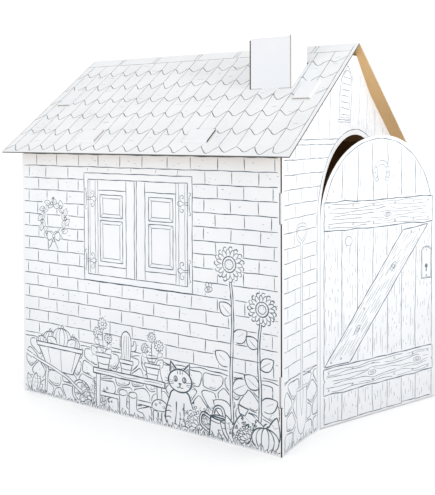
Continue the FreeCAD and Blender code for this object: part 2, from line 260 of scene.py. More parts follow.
def cut_at(loop, lines, cell):
    """The loop with points added wherever a side crosses one of the upright lines, and along
    every side longer than a cell."""
    new = []
    for a, b in zip(loop, np.roll(loop, -1, 0)):
        low, high = min(a[0], b[0]) + 1e-6, max(a[0], b[0]) - 1e-6
        shares = [0.0] + [(line - a[0]) / (b[0] - a[0]) for line in lines if low < line < high]
        pieces = max(1, math.ceil(np.hypot(*(b - a)) / cell))
        shares += [k / pieces for k in range(1, pieces)]
        new.append(a + np.unique(np.round(shares, 6))[:, None] * (b - a))
    return np.concatenate(new)


def divided(starts, ends, steps):
    """Points on the straight lines from starts to ends, each in its own number of even steps."""
    share = np.concatenate([np.arange(n) / n for n in steps])[:, None]
    a, b = np.repeat(starts, steps, 0), np.repeat(ends, steps, 0)
    return a + share * (b - a)


def inset(loop, distance):
    """The loop moved to its left: each corner slides along its mitre, by the distance over the
    cosine of half its turn."""
    ahead = np.roll(loop, -1, 0) - loop
    left = left_of(ahead / np.linalg.norm(ahead, axis=1)[:, None])
    both = left + np.roll(left, 1, 0)
    return loop + both * (distance / np.maximum((both * both).sum(1) / 2, 0.5))[:, None]


def band(rings, kinds, closed_section):
    """Quads between rings of equal length, joined up along each ring and, for a closed section,
    from the last ring to the first. They are sorted by the material of each side of a ring."""
    steps = list(zip(rings, rings[1:] + (rings[:1] if closed_section else [])))
    quads = np.concatenate([np.stack([a, b, np.roll(b, -1), np.roll(a, -1)], 1) for a, b in steps])
    return [(quads[np.tile(kinds == kind, len(steps))], kind) for kind in np.unique(kinds)]


def triangles(loops, grid):
    """The sheet between the loops cut into triangles, all turned the same way, on the grid's
    points: its points, its triangles, and the numbers of each loop's points."""
    points = np.concatenate([grid, *loops])
    sides, runs, first = [], [], len(grid)
    for loop in loops:
        run = np.arange(first, first + len(loop))
        sides += zip(run.tolist(), np.roll(run, -1).tolist())
        runs.append(run)
        first += len(loop)
    found = delaunay_2d_cdt([Vector(p) for p in points], sides, [], 0, 1e-5)
    flat = np.array([tuple(v) for v in found[0]])
    where = np.empty(len(points), int)
    for new, olds in enumerate(found[3]):
        where[olds] = new
    tris = np.array(found[2])
    corner = flat[tris]
    turn = np.cross(corner[:, 1] - corner[:, 0], corner[:, 2] - corner[:, 0])
    tris[turn < 0] = tris[turn < 0][:, ::-1]
    real = (np.abs(turn) > 1e-6) & inside(corner.mean(1), loops)
    return flat, tris[real], [where[run] for run in runs]


# CUT edges get a near-black brown, painted shade of the open flutes and of the gaps beside the edges;
# PALE_CUT edges get a paler copy.
OUTSIDE, INSIDE, CUT, PALE_CUT = 0, 1, 2, 3     # material places on every board


def board(section, place, outline, holes=(), cell=60.0, flutes_run_along="t", edge=CUT):
    """A corrugated board as it really is made: two paper faces and the wavy sheet between them.

    Both faces are the outline in (s, t) cut into triangles on a grid. Round each outline and
    hole the faces' edges turn in and go a few millimetres into the board, and the fluted sheet
    shows between them, at depth = middle + height * sin(2 pi * distance across the flutes / pitch).
    A hole comes with its lean, which is how far s moves for each unit of depth. The cut edge has
    one of two materials, or each side of it the one that a function of its start gives.
    """
    creases = [c + r * k for c, r in section.creases for k in (-1, -0.6, -0.2, 0.2, 0.6, 1)]
    loops, leans = zip(*[(cut_at(np.array(loop, float), creases, cell), lean)
                         for loop, lean in ((outline, 0.0), *holes)])
    low, high = loops[0].min(0), loops[0].max(0)
    across_s, across_t = (np.arange(low[i] + cell / 2, high[i], cell) for i in (0, 1))
    grid = np.stack(np.meshgrid(across_s, across_t), -1).reshape(-1, 2)
    for c, r in section.creases:
        grid = grid[np.abs(grid[:, 0] - c) > r + cell * 0.3]
    grid = grid[edge_distance(grid, loops) > min(cell * 0.3, 8.0)]
    if creases:
        rows = np.stack(np.meshgrid(creases, across_t), -1).reshape(-1, 2)
        grid = np.concatenate([grid, rows[edge_distance(rows, loops) > 1.5]])
    flat, tris, rims = triangles(loops, grid[inside(grid, loops)])

    behind = flat.copy()
    for rim, lean in zip(rims, leans):
        behind[rim, 0] += lean * BOARD
    layers = [(flat, 0.0), (behind, BOARD)]
    faces = [(tris, OUTSIDE), (tris[:, ::-1] + len(flat), INSIDE)]

    def laid(ring, depth, lean):
        """Lay down a ring of points at a depth, and give their numbers."""
        first = sum(len(points) for points, depth_there in layers)
        shift = lean * np.broadcast_to(depth, len(ring))
        layers.append((ring + np.stack([shift, 0 * shift], 1), depth))
        return np.arange(first, first + len(ring))

    across = 0 if flutes_run_along == "t" else 1
    height = BOARD / 2 - LINER - FLUTE_PAPER / 2
    for loop, lean, rim in zip(loops, leans, rims):
        kinds = np.array([edge(*corner) if callable(edge) else edge for corner in loop])
        deep = inset(loop, EDGE_DEPTH if edge == CUT else CRUSHED_DEPTH)
        turned_in = [laid(ring, depth, lean) for ring, depth in
                     ((loop, LINER), (deep, LINER), (deep, BOARD - LINER), (loop, BOARD - LINER))]
        faces += band([rim, *turned_in, rim + len(flat)], kinds, False)
        spans = np.abs(np.roll(loop, -1, 0) - loop)[:, across]
        steps = np.maximum(1, np.ceil(spans / FLUTE_STEP)).astype(int)
        fluted = []
        for ring, side in zip((inset(loop, FLUTE_INSET),) * 2 + (deep,) * 2, (-1, 1, 1, -1)):
            ring = divided(ring, np.roll(ring, -1, 0), steps)
            wave = BOARD / 2 + height * np.sin(2 * math.pi * ring[:, across] / FLUTE_PITCH)
            fluted.append(laid(ring, wave + side * FLUTE_PAPER / 2, lean))
        faces += band(fluted, np.repeat(kinds, steps), True)
    sheet = np.concatenate([ring for ring, depth in layers])
    depths = np.concatenate([np.broadcast_to(depth, len(ring)) for ring, depth in layers])
    return place(sheet[:, 0], sheet[:, 1], depths), sheet * MM, faces


def add_mesh(name, points, faces, materials, body):
    """A piece of the house with its mesh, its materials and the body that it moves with."""
    mesh = bpy.data.meshes.new(name)
    mesh.from_pydata(points.tolist(), [], faces)
    for material in materials:
        mesh.materials.append(material)
    piece = add_object(name, mesh)
    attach(piece, body)
    return piece


def add_piece(name, node, parts, materials, body="house"):
    """One object from several boards, each given as points, places on the flat sheet, and faces.
    It takes the place of its CAD node."""
    points, sheet, groups = zip(*parts)
    sheet = np.concatenate(sheet)
    faces, index, first = [], [], 0
    for part_points, part_faces in zip(points, groups):
        for group, material in part_faces:
            faces += (group + first).tolist()
            index += [material] * len(group)
        first += len(part_points)
    piece = add_mesh(name, np.concatenate(points), faces, materials, body)
    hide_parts(node)
    mesh = piece.data
    mesh.polygons.foreach_set("material_index", np.array(index, np.int32))
    corners = np.empty(len(mesh.loops), np.int32)
    mesh.loops.foreach_get("vertex_index", corners)
    mesh.uv_layers.new(name="sheet").data.foreach_set("uv", sheet[corners].astype(np.float32).ravel())
    mesh.shade_smooth()
    mesh.set_sharp_from_angle(angle=math.radians(32))


def add_node(shader, kind, inputs, **settings):
    """A new node beside a material's shader."""
    node = shader.id_data.nodes.new("ShaderNode" + kind)
    for name, value in settings.items():
        setattr(node, name, value)
    return fill_in(node, inputs)


def two_colours(shader, share, start, end, colours):
    """The shader's colour goes from one colour to another as the share goes from start to end."""
    ramp = add_node(shader, "ValToRGB", {"Fac": share})
    for stop, at, colour in zip(ramp.color_ramp.elements, (start, end), colours):
        stop.position, stop.color = at, (*colour, 1)
    fill_in(shader, {"Base Color": ramp})


def paper(name, light, dark, roughness, washboard, fibre, cloud=1.0):
    """Paper face of a board: two close colours in soft clouds, as strong as the last value says,
    and in short fibres. The fibres are raised as bump, with the faint washboard of the flutes, a
    sine wave across them."""
    material, shader = new_material(name, {"Roughness": roughness, "Specular IOR Level": 0.25})
    sheet = add_node(shader, "UVMap", {}, uv_map="sheet")
    clouds = add_node(shader, "TexNoise", {"Vector": sheet, "Scale": 9.0, "Detail": 3.0})
    faint = add_node(shader, "Math", {0: clouds, 1: cloud, 2: 0.5 - 0.5 * cloud}, operation="MULTIPLY_ADD")
    stretch = add_node(shader, "Mapping", {"Vector": sheet, "Scale": (420.0, 130.0, 1.0),
                                           "Rotation": (0.0, 0.0, 0.35)})
    fibres = add_node(shader, "TexNoise", {"Vector": stretch, "Scale": 1.0, "Detail": 5.0, "Roughness": 0.7})
    blend = add_node(shader, "Math", {0: fibres, 1: fibre, 2: faint}, operation="MULTIPLY_ADD")
    two_colours(shader, blend, 0.35 + fibre * 0.3, 0.65 + fibre * 0.7, (dark, light))

    axis = add_node(shader, "SeparateXYZ", {"Vector": sheet})
    phase = add_node(shader, "Math", {0: axis, 1: 2 * math.pi / (FLUTE_PITCH * MM)}, operation="MULTIPLY")
    wave = add_node(shader, "Math", {0: phase}, operation="SINE")
    height = add_node(shader, "Math", {0: wave, 1: washboard, 2: fibres}, operation="MULTIPLY_ADD")
    bump = add_node(shader, "Bump", {"Strength": 0.35, "Distance": 0.0003, "Height": height})
    fill_in(shader, {"Normal": bump})
    return material


white_paper = paper("white_paper", (0.75, 0.761, 0.779), (0.71, 0.724, 0.747), 0.55, 0.15, 0.25)
# Inside kraft of walls, door and chimney: the same paper as the roof's kraft liner (roof_liner), painted
# darker as painted shade for the dark inside of the house.
kraft_paper_painted_shade = paper("kraft_paper_painted_shade", (0.32, 0.192, 0.084), (0.25, 0.148, 0.062), 0.75, 0.5, 0.9, 0.35)
# Cut edge painted near-black brown, darker than bare kraft: painted shade of the open flutes and of the gaps
# between boards.
cut_edge_painted_shade = paper("cut_edge_painted_shade", (0.13, 0.092, 0.065), (0.065, 0.045, 0.033), 0.85, 0.0, 0.9)
# Paler copy of the cut edge, for PALE_CUT places. Where a board picks it by side, as on the chimney's right
# plate, the paleness is painted light.
pale_edge = paper("pale_edge", (0.52, 0.48, 0.43), (0.39, 0.355, 0.315), 0.85, 0.0, 0.9)
BOARD_PAPERS = (white_paper, kraft_paper_painted_shade, cut_edge_painted_shade, pale_edge)


def panel_outline():
    """The panel flat: gable from s = 0, long wall after the fold. Where corner tabs fold away at
    the gable's free edge, the edge is stepped back by the fold, and the long wall's end is cut
    back beside the other panel's tabs."""
    step = BOARD + SEAT_GAP + FOLD_RADIUS
    depth = 2 * HALF_DEPTH
    end = depth + 2 * HALF_LENGTH - BOARD - SEAT_GAP
    peak_half = (GABLE_TOP - PEAK) / TAN
    tabs = [(bottom, bottom + CORNER_TAB_HEIGHT) for bottom in CORNER_TAB_BOTTOMS]
    points = [(0, 0), (end, 0)]
    for bottom, top in tabs:
        points += [(end, bottom), (end - CORNER_NOTCH, bottom), (end - CORNER_NOTCH, top), (end, top)]
    points += [(end, WALL_TOP), (depth + BOARD, WALL_TOP), (depth, WALL_TOP)]
    points += [(HALF_DEPTH + peak_half, PEAK), (HALF_DEPTH - peak_half, PEAK), (0, WALL_TOP)]
    for bottom, top in reversed(tabs):
        points += [(0, top), (step, top), (step, bottom), (0, bottom)]
    return points


def rectangle(s0, s1, t0, t1):
    """Corners of a rectangle, the way round that keeps a board's face outside."""
    return np.array([(s0, t0), (s1, t0), (s1, t1), (s0, t1)], float)


def tab(section, place, t0, t1, edge=CUT, cell=6.0):
    """Straight tab from t0 to t1, with flutes across its fold, and triangles small enough to keep
    the fold round."""
    return board(section, place, rectangle(0, section.length, t0, t1), (), cell, "s", edge)


def eave_tabs():
    """Lock tabs of the front wall: each goes up through the roof and folds up its slope."""
    fold = np.array([-HALF_DEPTH, RIDGE - HALF_DEPTH * TAN + (SEAT_GAP + BOARD) / COS])
    section = folded([fold + LOCK_TAB_LENGTH * np.array([COS, SIN]), fold, (-HALF_DEPTH, WALL_TOP)])
    half = EAVE_TAB_WIDTH / 2
    return [tab(section, level(section), middle - half, middle + half, edge)
            for middle, edge in ((-EAVE_TAB_OFFSET, PALE_CUT), (EAVE_TAB_OFFSET, CUT))]


def down_slope(section, from_ridge, width):
    """Strip carried down the front slope: section drawn in (x, out of the roof), and t from the
    strip's upper side down the slope."""
    down, out = np.array([0.0, -COS, -SIN]), np.array([0.0, -SIN, COS])
    start = np.array([0.0, 0.0, RIDGE]) + down * (from_ridge - width / 2)

    def place(s, t, depth=0.0):
        at = section(s, depth)
        t = np.broadcast_to(t, at[..., 0].shape)
        return (start + at[..., :1] * (1.0, 0.0, 0.0) + at[..., 1:] * out + t[..., None] * down) * MM
    return place


def gable_tabs():
    """The two lock tabs of the door gable, folded in over the front slope and, taken end for end
    so that its outside stays outside, over the back slope. The tip's edge is white, as the
    face."""
    seat, width = SEAT_GAP + BOARD, GABLE_TAB_WIDTH
    section = folded([(HALF_LENGTH, -seat), (HALF_LENGTH, seat), (HALF_LENGTH - LOCK_TAB_LENGTH, seat)])
    front = down_slope(section, GABLE_TAB_FROM_RIDGE, width)

    def back(s, t, depth=0.0):
        return front(s, width - t, depth) * (1, -1, 1)

    def edge(s, t):
        return OUTSIDE if s == section.length and t < width else PALE_CUT
    return [tab(section, place, 0, width, edge) for place in (front, back)]


def corner_tabs():
    """Tabs at the door gable's free edge, folded in behind the front wall."""
    face = -HALF_DEPTH + BOARD + SEAT_GAP
    section = folded([(HALF_LENGTH - CORNER_TAB_LENGTH, face), (HALF_LENGTH, face),
                      (HALF_LENGTH, face + FOLD_RADIUS)])
    return [tab(section, upright(section), bottom, bottom + CORNER_TAB_HEIGHT, cell=4.0)
            for bottom in CORNER_TAB_BOTTOMS]


def half_turned(parts):
    """Boards turned half round on the spot, from the back panel's side to the front panel's."""
    return [(points * (-1, -1, 1), sheet, faces) for points, sheet, faces in parts]


front_section = folded([(-HALF_LENGTH, HALF_DEPTH), (-HALF_LENGTH, -HALF_DEPTH),
                        (HALF_LENGTH - BOARD - SEAT_GAP, -HALF_DEPTH)])
front_place = upright(front_section)
front_panel = board(front_section, front_place, panel_outline(), cell=30.0)
front_tabs = eave_tabs() + half_turned(gable_tabs() + corner_tabs())
add_piece("front_wall", "front_wall_panel", [front_panel] + front_tabs, BOARD_PAPERS)


# ------------------------------------------------------------------ print on the front wall
# The window wall is printed for colouring in: courses of brick, a closed shutter window, a foot
# of rubble stones, and a garden of its own design in front of them. All of it is line work,
# each line a low ridge of ink on the white paper.

INK_RISE = 0.28         # crest of an ink line above the paper
INK_ROOT = 0.10         # its sides start this far inside the paper
BOLD, MEDIUM, FINE, HAIR = 4.4, 3.3, 2.4, 1.7
COURSE = 40.2           # height of a course of bricks
BRICK = 89.4
FIRST_COURSE = 207.0
STONE_TOP = 196.0
WALL_MARGIN = 12.0

# A stroke is a line of points with its width. A drawing is its strokes, with the closed shapes
# that hide what is drawn before it.


def drawn(points, width, closed=False, step=6.0):
    """A stroke with straight sides: each side is divided evenly, and its corners are kept."""
    points = np.array(points, float)
    if closed:
        points = np.concatenate([points, points[:1]])
    steps = np.maximum(1, np.ceil(np.hypot(*np.diff(points, axis=0).T) / step)).astype(int)
    return np.concatenate([divided(points[:-1], points[1:], steps), points[-1:]]), width


def curve(points, width, closed=False, step=3.5):
    """A stroke that bends evenly through its points (Catmull and Rom's cubic: each span leaves
    and arrives along half the chord between the neighbours of its ends)."""
    points = np.array(points, float)
    if closed:
        ring = np.concatenate([points[-1:], points, points[:2]])
    else:
        ring = np.concatenate([2 * points[:1] - points[1:2], points, 2 * points[-1:] - points[-2:-1]])
    spans = np.maximum(2, np.ceil(np.hypot(*(ring[2:-1] - ring[1:-2]).T) / step)).astype(int)
    t = np.concatenate([np.arange(n) / n for n in spans])[:, None]
    a, b, c, d = (np.repeat(p, spans, 0) for p in (ring[:-3], ring[1:-2], ring[2:-1], ring[3:]))
    bent = 2 * b + (c - a) * t + (2 * a - 5 * b + 4 * c - d) * t ** 2 + (3 * b - a - 3 * c + d) * t ** 3
    return np.concatenate([0.5 * bent, ring[-2:-1]]), width


def oval(x, z, rx, rz, width, start=0.0, end=360.0, lean=0.0):
    """Ellipse or part of one: centre plus (rx cos a, rz sin a), turned by the lean in degrees."""
    count = max(8, math.ceil(math.radians(abs(end - start)) * max(rx, rz) / 3.0))
    a, tilt = np.radians(np.linspace(start, end, count + 1)), math.radians(lean)
    u, v = rx * np.cos(a), rz * np.sin(a)
    across, up = u * math.cos(tilt) - v * math.sin(tilt), u * math.sin(tilt) + v * math.cos(tilt)
    return np.stack([x + across, z + up], 1), width


def ray(degrees, reach):
    """The point that far away in a direction."""
    return reach * np.array([math.cos(math.radians(degrees)), math.sin(math.radians(degrees))])


def block(x0, x1, z0, z1, width):
    """Stroke round a rectangle."""
    return drawn(rectangle(x0, x1, z0, z1), width, True)


def filled(*edges, inner=()):
    """A drawing: strokes that follow one another round a shape, and others inside it."""
    return [*edges, *inner], [np.concatenate([line for line, width in edges])]


def tube(points, thick, width):
    """Two even lines either side of a bent middle line, and the shape that they close."""
    middle = curve(points, width)[0]
    ahead = np.gradient(middle, axis=0)
    left = left_of(ahead) / np.maximum(np.hypot(*ahead.T), 1e-9)[:, None]
    half = np.linspace(*(thick if isinstance(thick, tuple) else (thick, thick)), len(middle))[:, None] / 2
    one, two = middle + left * half, middle - left * half
    return [(one, width), (two, width)], [np.concatenate([one, two[::-1]])]


def both_sides(*strokes):
    """The strokes' mirror image across x = 0, and the strokes."""
    return [(line * (-1, 1), width) for line, width in strokes] + list(strokes)


def clear_of(strokes, shapes):
    """What is left of the strokes outside some closed shapes."""
    if not strokes:
        return []
    points = np.concatenate([line for line, width in strokes])
    hidden = np.zeros(len(points), bool)
    for shape in shapes:
        near = np.flatnonzero(((points > shape.min(0)) & (points < shape.max(0))).all(1))
        hidden[near] |= inside(points[near], [shape])
    left, first = [], 0
    for line, width in strokes:
        mask = hidden[first:first + len(line)]
        first += len(line)
        runs = np.split(np.arange(len(line)), np.flatnonzero(np.diff(mask)) + 1)
        left += [(line[run], width) for run in runs if not mask[run[0]] and len(run) > 1]
    return left


def within(strokes, shape):
    """What lies inside one closed shape: the shape cut as a hole from a sheet far larger."""
    far = rectangle(-9e3, 9e3, -9e3, 9e3)
    return clear_of(strokes, [np.concatenate([far, far[:1], shape, shape[:1]])])


def stacked(*drawings):
    """Drawings laid over one another, each over the ones before it."""
    strokes, shapes = [], []
    for over, covers in drawings:
        strokes, shapes = clear_of(strokes, covers) + over, shapes + covers
    return strokes, shapes


def moved(drawing, x, z=2.0, bolder=1.0, scale=1.0, mirror=False):
    """A drawing set down at (x, z), with bolder lines, scaled, and mirrored where asked."""
    change = np.array([-scale if mirror else scale, scale])
    strokes, shapes = drawing
    return ([(line * change + (x, z), width * bolder) for line, width in strokes],
            [shape * change + (x, z) for shape in shapes])


def leaf(x, z, length, angle, plump=0.32, width=FINE, rib=True):
    """Pointed leaf: both sides bow out by sin(pi * share ** 0.85) ** 0.8, widest before the middle."""
    share = np.linspace(0, 1, max(7, int(length / 4)))
    side = np.stack([share * length, plump * length * np.sin(math.pi * share ** 0.85) ** 0.8], 1)
    vein = np.array([(0, 0), (0.35 * length, 0.02 * length), (0.75 * length, 0)])
    a = math.radians(angle)
    turn = np.array([(math.cos(a), math.sin(a)), (-math.sin(a), math.cos(a))])
    edge = np.concatenate([side, (side * (1, -1))[::-1]]) @ turn + (x, z)
    return filled((edge, width), inner=[(vein @ turn + (x, z), HAIR)] if rib else [])


def rosette(x, z, inner, outer, petals, width, turn=0.0):
    """Flower head: radius = inner + (outer - inner) * |cos(petals * angle / 2)| ** 0.55."""
    a = np.linspace(0, 2 * math.pi, petals * 8 + 1)
    r = inner + (outer - inner) * np.abs(np.cos(petals * a / 2)) ** 0.55
    return filled((np.stack([x + r * np.cos(a + turn), z + r * np.sin(a + turn)], 1), width))


def daisy(x, z, foot_x, foot_z, radius):
    """Stem from the pot, a leaf on it, and a head of petals round a button."""
    side = 1 if x >= foot_x else -1
    bend = ((x + foot_x) / 2 + (x - foot_x) * 0.25, (z + foot_z) / 2)
    return stacked(([curve([(foot_x, foot_z), bend, (x, z)], FINE)], []),
                   leaf(*bend, 1.3 * radius, 90 - side * 60, width=HAIR, rib=False),
                   rosette(x, z, 0.55 * radius, radius, 9, FINE),
                   ([oval(x, z, 0.32 * radius, 0.32 * radius, FINE)], []))


def sunflower(height, radius, sway):
    """Tall stem with leaves on both sides and a heavy head of two rings of petals."""
    bends, sways = (0, 0.35, 0.7, 1), (0, sway * 0.6, sway * 0.2, sway)
    layers = []
    for k, share in enumerate(np.arange(0.16, 0.86, 0.14)):
        side = 1 if k % 2 else -1
        x, long = np.interp(share, bends, sways) + side * 4, radius * (1.45 - 0.6 * share)
        layers.append(leaf(x, height * share, long, 90 - side * (66 - 20 * share), 0.36, MEDIUM))
    layers.append(tube([(x, height * share) for share, x in zip(bends, sways)], (9, 6), MEDIUM))
    layers.append(rosette(sway, height, 0.62 * radius, radius, 15, MEDIUM, 0.2))
    layers.append(rosette(sway, height, 0.5 * radius, 0.86 * radius, 15, FINE))
    seeds = [oval(sway, height, 0.27 * radius, 0.27 * radius, FINE)]
    for k in range(22):
        a, r = k * 2.4, 0.4 * radius * math.sqrt((k + 1) / 22)
        x, z = sway + r * math.cos(a), height + r * math.sin(a)
        seeds.append((np.array([(x - 1.4, z - 0.6), (x + 1.4, z + 0.6)]), HAIR))
    return stacked(*layers, filled(oval(sway, height, 0.44 * radius, 0.44 * radius, MEDIUM), inner=seeds))


def pumpkin(rx, rz):
    """Ribbed gourd: one ellipse, narrower ones inside it, and a bent stalk."""
    stalk = tube([(0, rz * 0.86), (1, rz * 1.1), (rx * 0.2, rz * 1.32)], (rx * 0.26, rx * 0.18), MEDIUM)
    ribs = [oval(0, 0, rx * share, rz, FINE) for share in (0.28, 0.66)]
    return stacked(stalk, filled(oval(0, 0, rx, rz, MEDIUM), inner=ribs))


def wheelbarrow():
    """Tray heaped with pumpkins on a spoked wheel, two handles and a leg."""
    heap = [moved(pumpkin(rx, rz), x, z)
            for rx, rz, x, z in ((34, 27, -52, 196), (30, 25, 52, 193), (42, 34, 2, 206))]
    heap += [leaf(-22, 176, 52, 150, 0.36, MEDIUM), leaf(28, 178, 46, 40, 0.36, MEDIUM)]
    heap.append(moved(pumpkin(26, 20), -92, 183))
    ribs = [drawn([(foot, z), (top, 166)], FINE)
            for foot, z, top in ((-48, 102, -64), (0, 94, -4), (44, 100, 66))]
    tray = filled(drawn([(-60, 92), (52, 92), (92, 176), (-112, 176)], BOLD, True), inner=ribs)
    rim = filled(drawn([(-114, 168), (94, 168), (97, 182), (-117, 182)], BOLD, True))
    leg, shoe, bar, grip = (tube(line, thick, MEDIUM) for line, thick in (
        ([(-66, 104), (-76, 6)], 10), ([(-92, 4), (-60, 4)], 7), ([(88, 44), (10, 84), (-150, 132)], 10),
        ([(-138, 128), (-168, 137)], 14)))
    hub = np.array([88, 42])
    tyre, *rings = (oval(*hub, r, r, width) for r, width in ((40, BOLD), (31, MEDIUM), (8, MEDIUM)))
    for a in range(20, 380, 60):
        rings += tube([hub + ray(a, 9), hub + ray(a, 30)], 5, FINE)[0]
    return stacked(*heap, leg, shoe, tray, rim, filled(tyre, inner=rings), bar, grip)


def pot(width, height):
    """Clay pot with a rim, standing at the origin."""
    rim = block(-width / 2, width / 2, height, height - 11, MEDIUM)
    top, line = height - 11, np.array([(-0.36, 0.36), (0, 0.32), (0.36, 0.36)]) * (width, height)
    rim_end, foot = 0.43 * width, 0.31 * width
    body = drawn([(-rim_end, top), (-foot, 0), (foot, 0), (rim_end, top)], MEDIUM, True)
    return [rim, body, curve(line, FINE)], [rim[0], body[0]]


def cactus():
    """Round column with an arm, ribs and short spines."""
    arm = curve([(16, 34), (34, 36), (36, 58), (28, 62), (25, 48), (14, 48)], MEDIUM, True)
    stem = curve([(-15, 0), (-18, 40), (-15, 74), (0, 86), (15, 74), (18, 40), (15, 0)], MEDIUM)
    spines = ((-18, 20, -6), (-19, 40, -6), (-16, 62, -6), (18, 22, 6), (37, 50, 6), (16, 66, 6), (0, 86, 0))
    marks = [curve([(x, 4), (x * 1.3, 40), (x, 74)], HAIR) for x in (-7, 0, 7)]
    marks += [drawn([(x, z), (x + dx, z + 5)], HAIR) for x, z, dx in spines]
    return stacked(filled(arm), filled(stem, inner=marks))


def bench():
    """Plank bench with three pots on it and a pair of boots under it."""
    grain = [curve(line, HAIR) for line in ([(-120, 114), (-60, 116), (-10, 112), (40, 115)],
                                            [(58, 113), (96, 116), (124, 114)])]
    boot = curve([(0, 2), (-1, 40), (-2, 70), (24, 72), (25, 44), (27, 26), (48, 20), (54, 8), (50, 1),
                  (24, 0)], MEDIUM, True)
    boot = filled(boot, inner=[curve(line, FINE) for line in ([(-2, 60), (11, 57), (24, 61)],
                                                              [(1, 9), (24, 7), (52, 10)])])
    legs = both_sides(drawn([(104, 106), (108, 0), (122, 0), (120, 106)], MEDIUM, True))
    layers = [filled(block(-106, 106, 44, 56, MEDIUM)), *(filled(leg) for leg in legs)]
    layers += [moved(boot, x, 0) for x in (-30, 6)]
    layers.append(filled(block(-132, 132, 122, 106, BOLD), inner=grain))
    layers += [leaf(x, 158, 34, angle, 0.34) for x, angle in ((-116, 130), (-84, 50), (72, 130), (104, 50))]
    layers += [daisy(*head, x, z, r) for x, z, heads in (
        (-92, 162, ((-114, 226, 17), (-74, 214, 15), (-96, 254, 18))),
        (88, 160, ((62, 206, 14), (112, 220, 16), (86, 240, 15)))) for *head, r in heads]
    layers += [moved(pot(58, 46), -92, 122), moved(cactus(), -6, 158), moved(pot(50, 40), -6, 122)]
    return stacked(*layers, moved(pot(54, 44), 88, 122))


def cat():
    """Sitting cat, seen from the front, with its tail round one side."""
    tail = tube([(34, 10), (62, 8), (74, 28), (66, 50), (56, 60)], (13, 9), MEDIUM)
    flank = np.array([(20, 96), (33, 74), (44, 42), (42, 14), (26, 2)])
    body = curve([*(flank * (-1, 1))[::-1], *flank, (0, 4)], BOLD, True)
    fur = both_sides(curve([(12, 70), (12, 36), (17, 10)], MEDIUM))
    fur.append(curve([(-2, 8), (0, 30), (-1, 46)], FINE))
    fur += both_sides(*(curve([(43, z), (32, z + 3), (27, z - 1)], FINE) for z in (26, 40, 54)))
    toes = [drawn([(dx, 1), (dx, 6)], HAIR) for dx in (-3, 4)]
    paws = [moved(filled(oval(0, 6, 12, 7, MEDIUM), inner=toes), x, 0) for x in (-14, 14)]
    edges = both_sides(drawn([(30, 128), (29, 168), (7, 146)], BOLD, True))
    folds = both_sides(drawn([(25, 140), (25, 156), (16, 147)], FINE))
    ears = [filled(edge, inner=[fold]) for edge, fold in zip(edges, folds)]
    face = [oval(x, 126, 5, 6.5, MEDIUM) for x in (-13, 13)]
    face += both_sides(drawn([(13, 121), (13, 131)], MEDIUM))
    face.append(drawn([(-4, 116), (4, 116), (0, 111)], MEDIUM, True))
    face += both_sides(curve([(0, 111), (4, 105), (10, 107)], FINE))
    face += both_sides(*(drawn([(18, 113 + k * 3), (46, 108 + k * 8)], HAIR) for k in range(3)))
    face += [curve([(x, 149 - abs(x) * 0.3), (x * 0.8, 138)], FINE) for x in (-8, 0, 8)]
    head = filled(oval(0, 122, 35, 28, BOLD), inner=face)
    return stacked(tail, filled(body, inner=fur), *paws, *ears, head)


def watering_can():
    """Tapered can with a long spout and two handles."""
    back = tube([(8, 60), (-22, 68), (-28, 38), (2, 18)], 7, MEDIUM)
    top = tube([(12, 64), (22, 92), (44, 94), (56, 64)], 7, MEDIUM)
    spout = tube([(60, 14), (92, 46), (112, 92)], (16, 9), MEDIUM)
    rose = filled(drawn([(103, 92), (121, 88), (132, 108), (98, 116)], MEDIUM, True))
    body = drawn([(0, 0), (68, 0), (61, 66), (7, 66)], BOLD, True)
    hoops = [curve(line, FINE) for line in ([(1, 12), (34, 8), (67, 12)], [(6, 54), (34, 50), (62, 54)])]
    mouth = oval(34, 66, 27, 6, MEDIUM)
    return stacked(back, top, spout, rose, ([body, *hoops, mouth], [body[0], mouth[0]]))


def mushrooms():
    """Two toadstools of different heights."""
    layers = []
    for x, height, cap in ((0, 46, 28), (34, 28, 19)):
        sides = both_sides(curve([(cap * 0.32, 0), (cap * 0.2, height * 0.5), (cap * 0.26, height)], MEDIUM))
        dome = oval(0, height, cap, cap * 0.85, MEDIUM, 0, 180)
        under = oval(0, height, cap, cap * 0.26, FINE, 180, 360)
        dots = [oval(cap * u, height + cap * v, cap * 0.12, cap * 0.1, FINE)
                for u, v in ((-0.5, 0.28), (0, 0.55), (0.45, 0.2))]
        stem = (sides, [np.concatenate([sides[0][0], sides[1][0][::-1]])])
        layers += [moved(stem, x, 0), moved(filled(dome, under, inner=dots), x, 0)]
    return stacked(*layers)


def wreath(radius):
    """Ring of leaves with berries and a bow, hung on a nail."""
    layers = [leaf(*ray(a, radius), radius * 0.52, a + (62 if k % 2 else 122), 0.3)
              for k, a in enumerate(range(0, 360, 15))]
    layers += [filled(oval(*ray(a, radius), 5, 5, MEDIUM)) for a in range(8, 360, 45)]
    bow = np.array([(0, 0), (22, 15), (30, -2), (20, -14)]) - (0, radius)
    tail = np.array([(0, -3), (10, -24), (20, -40)]) - (0, radius)
    loops, ends = both_sides(curve(bow, MEDIUM, True)), both_sides(curve(tail, MEDIUM))
    layers += [filled(loop, inner=[end]) for loop, end in zip(loops, ends)]
    nail, string = oval(0, radius * 1.32, 3.5, 3.5, MEDIUM), drawn([(0, radius * 1.3), (0, radius)], FINE)
    return stacked(*layers, filled(oval(0, -radius, 6, 6, MEDIUM), inner=[nail, string]))


def bee():
    """Small bee in flight."""
    wings = [oval(-3, 12, 5, 9, FINE, lean=20), oval(6, 13, 5, 8, FINE, lean=-15)]
    stripes = [drawn([(x, -7), (x - 2, 7)], FINE) for x in (-4, 1, 6)]
    return stacked((wings, []), filled(oval(0, 0, 13, 8, FINE, lean=15), inner=stripes))


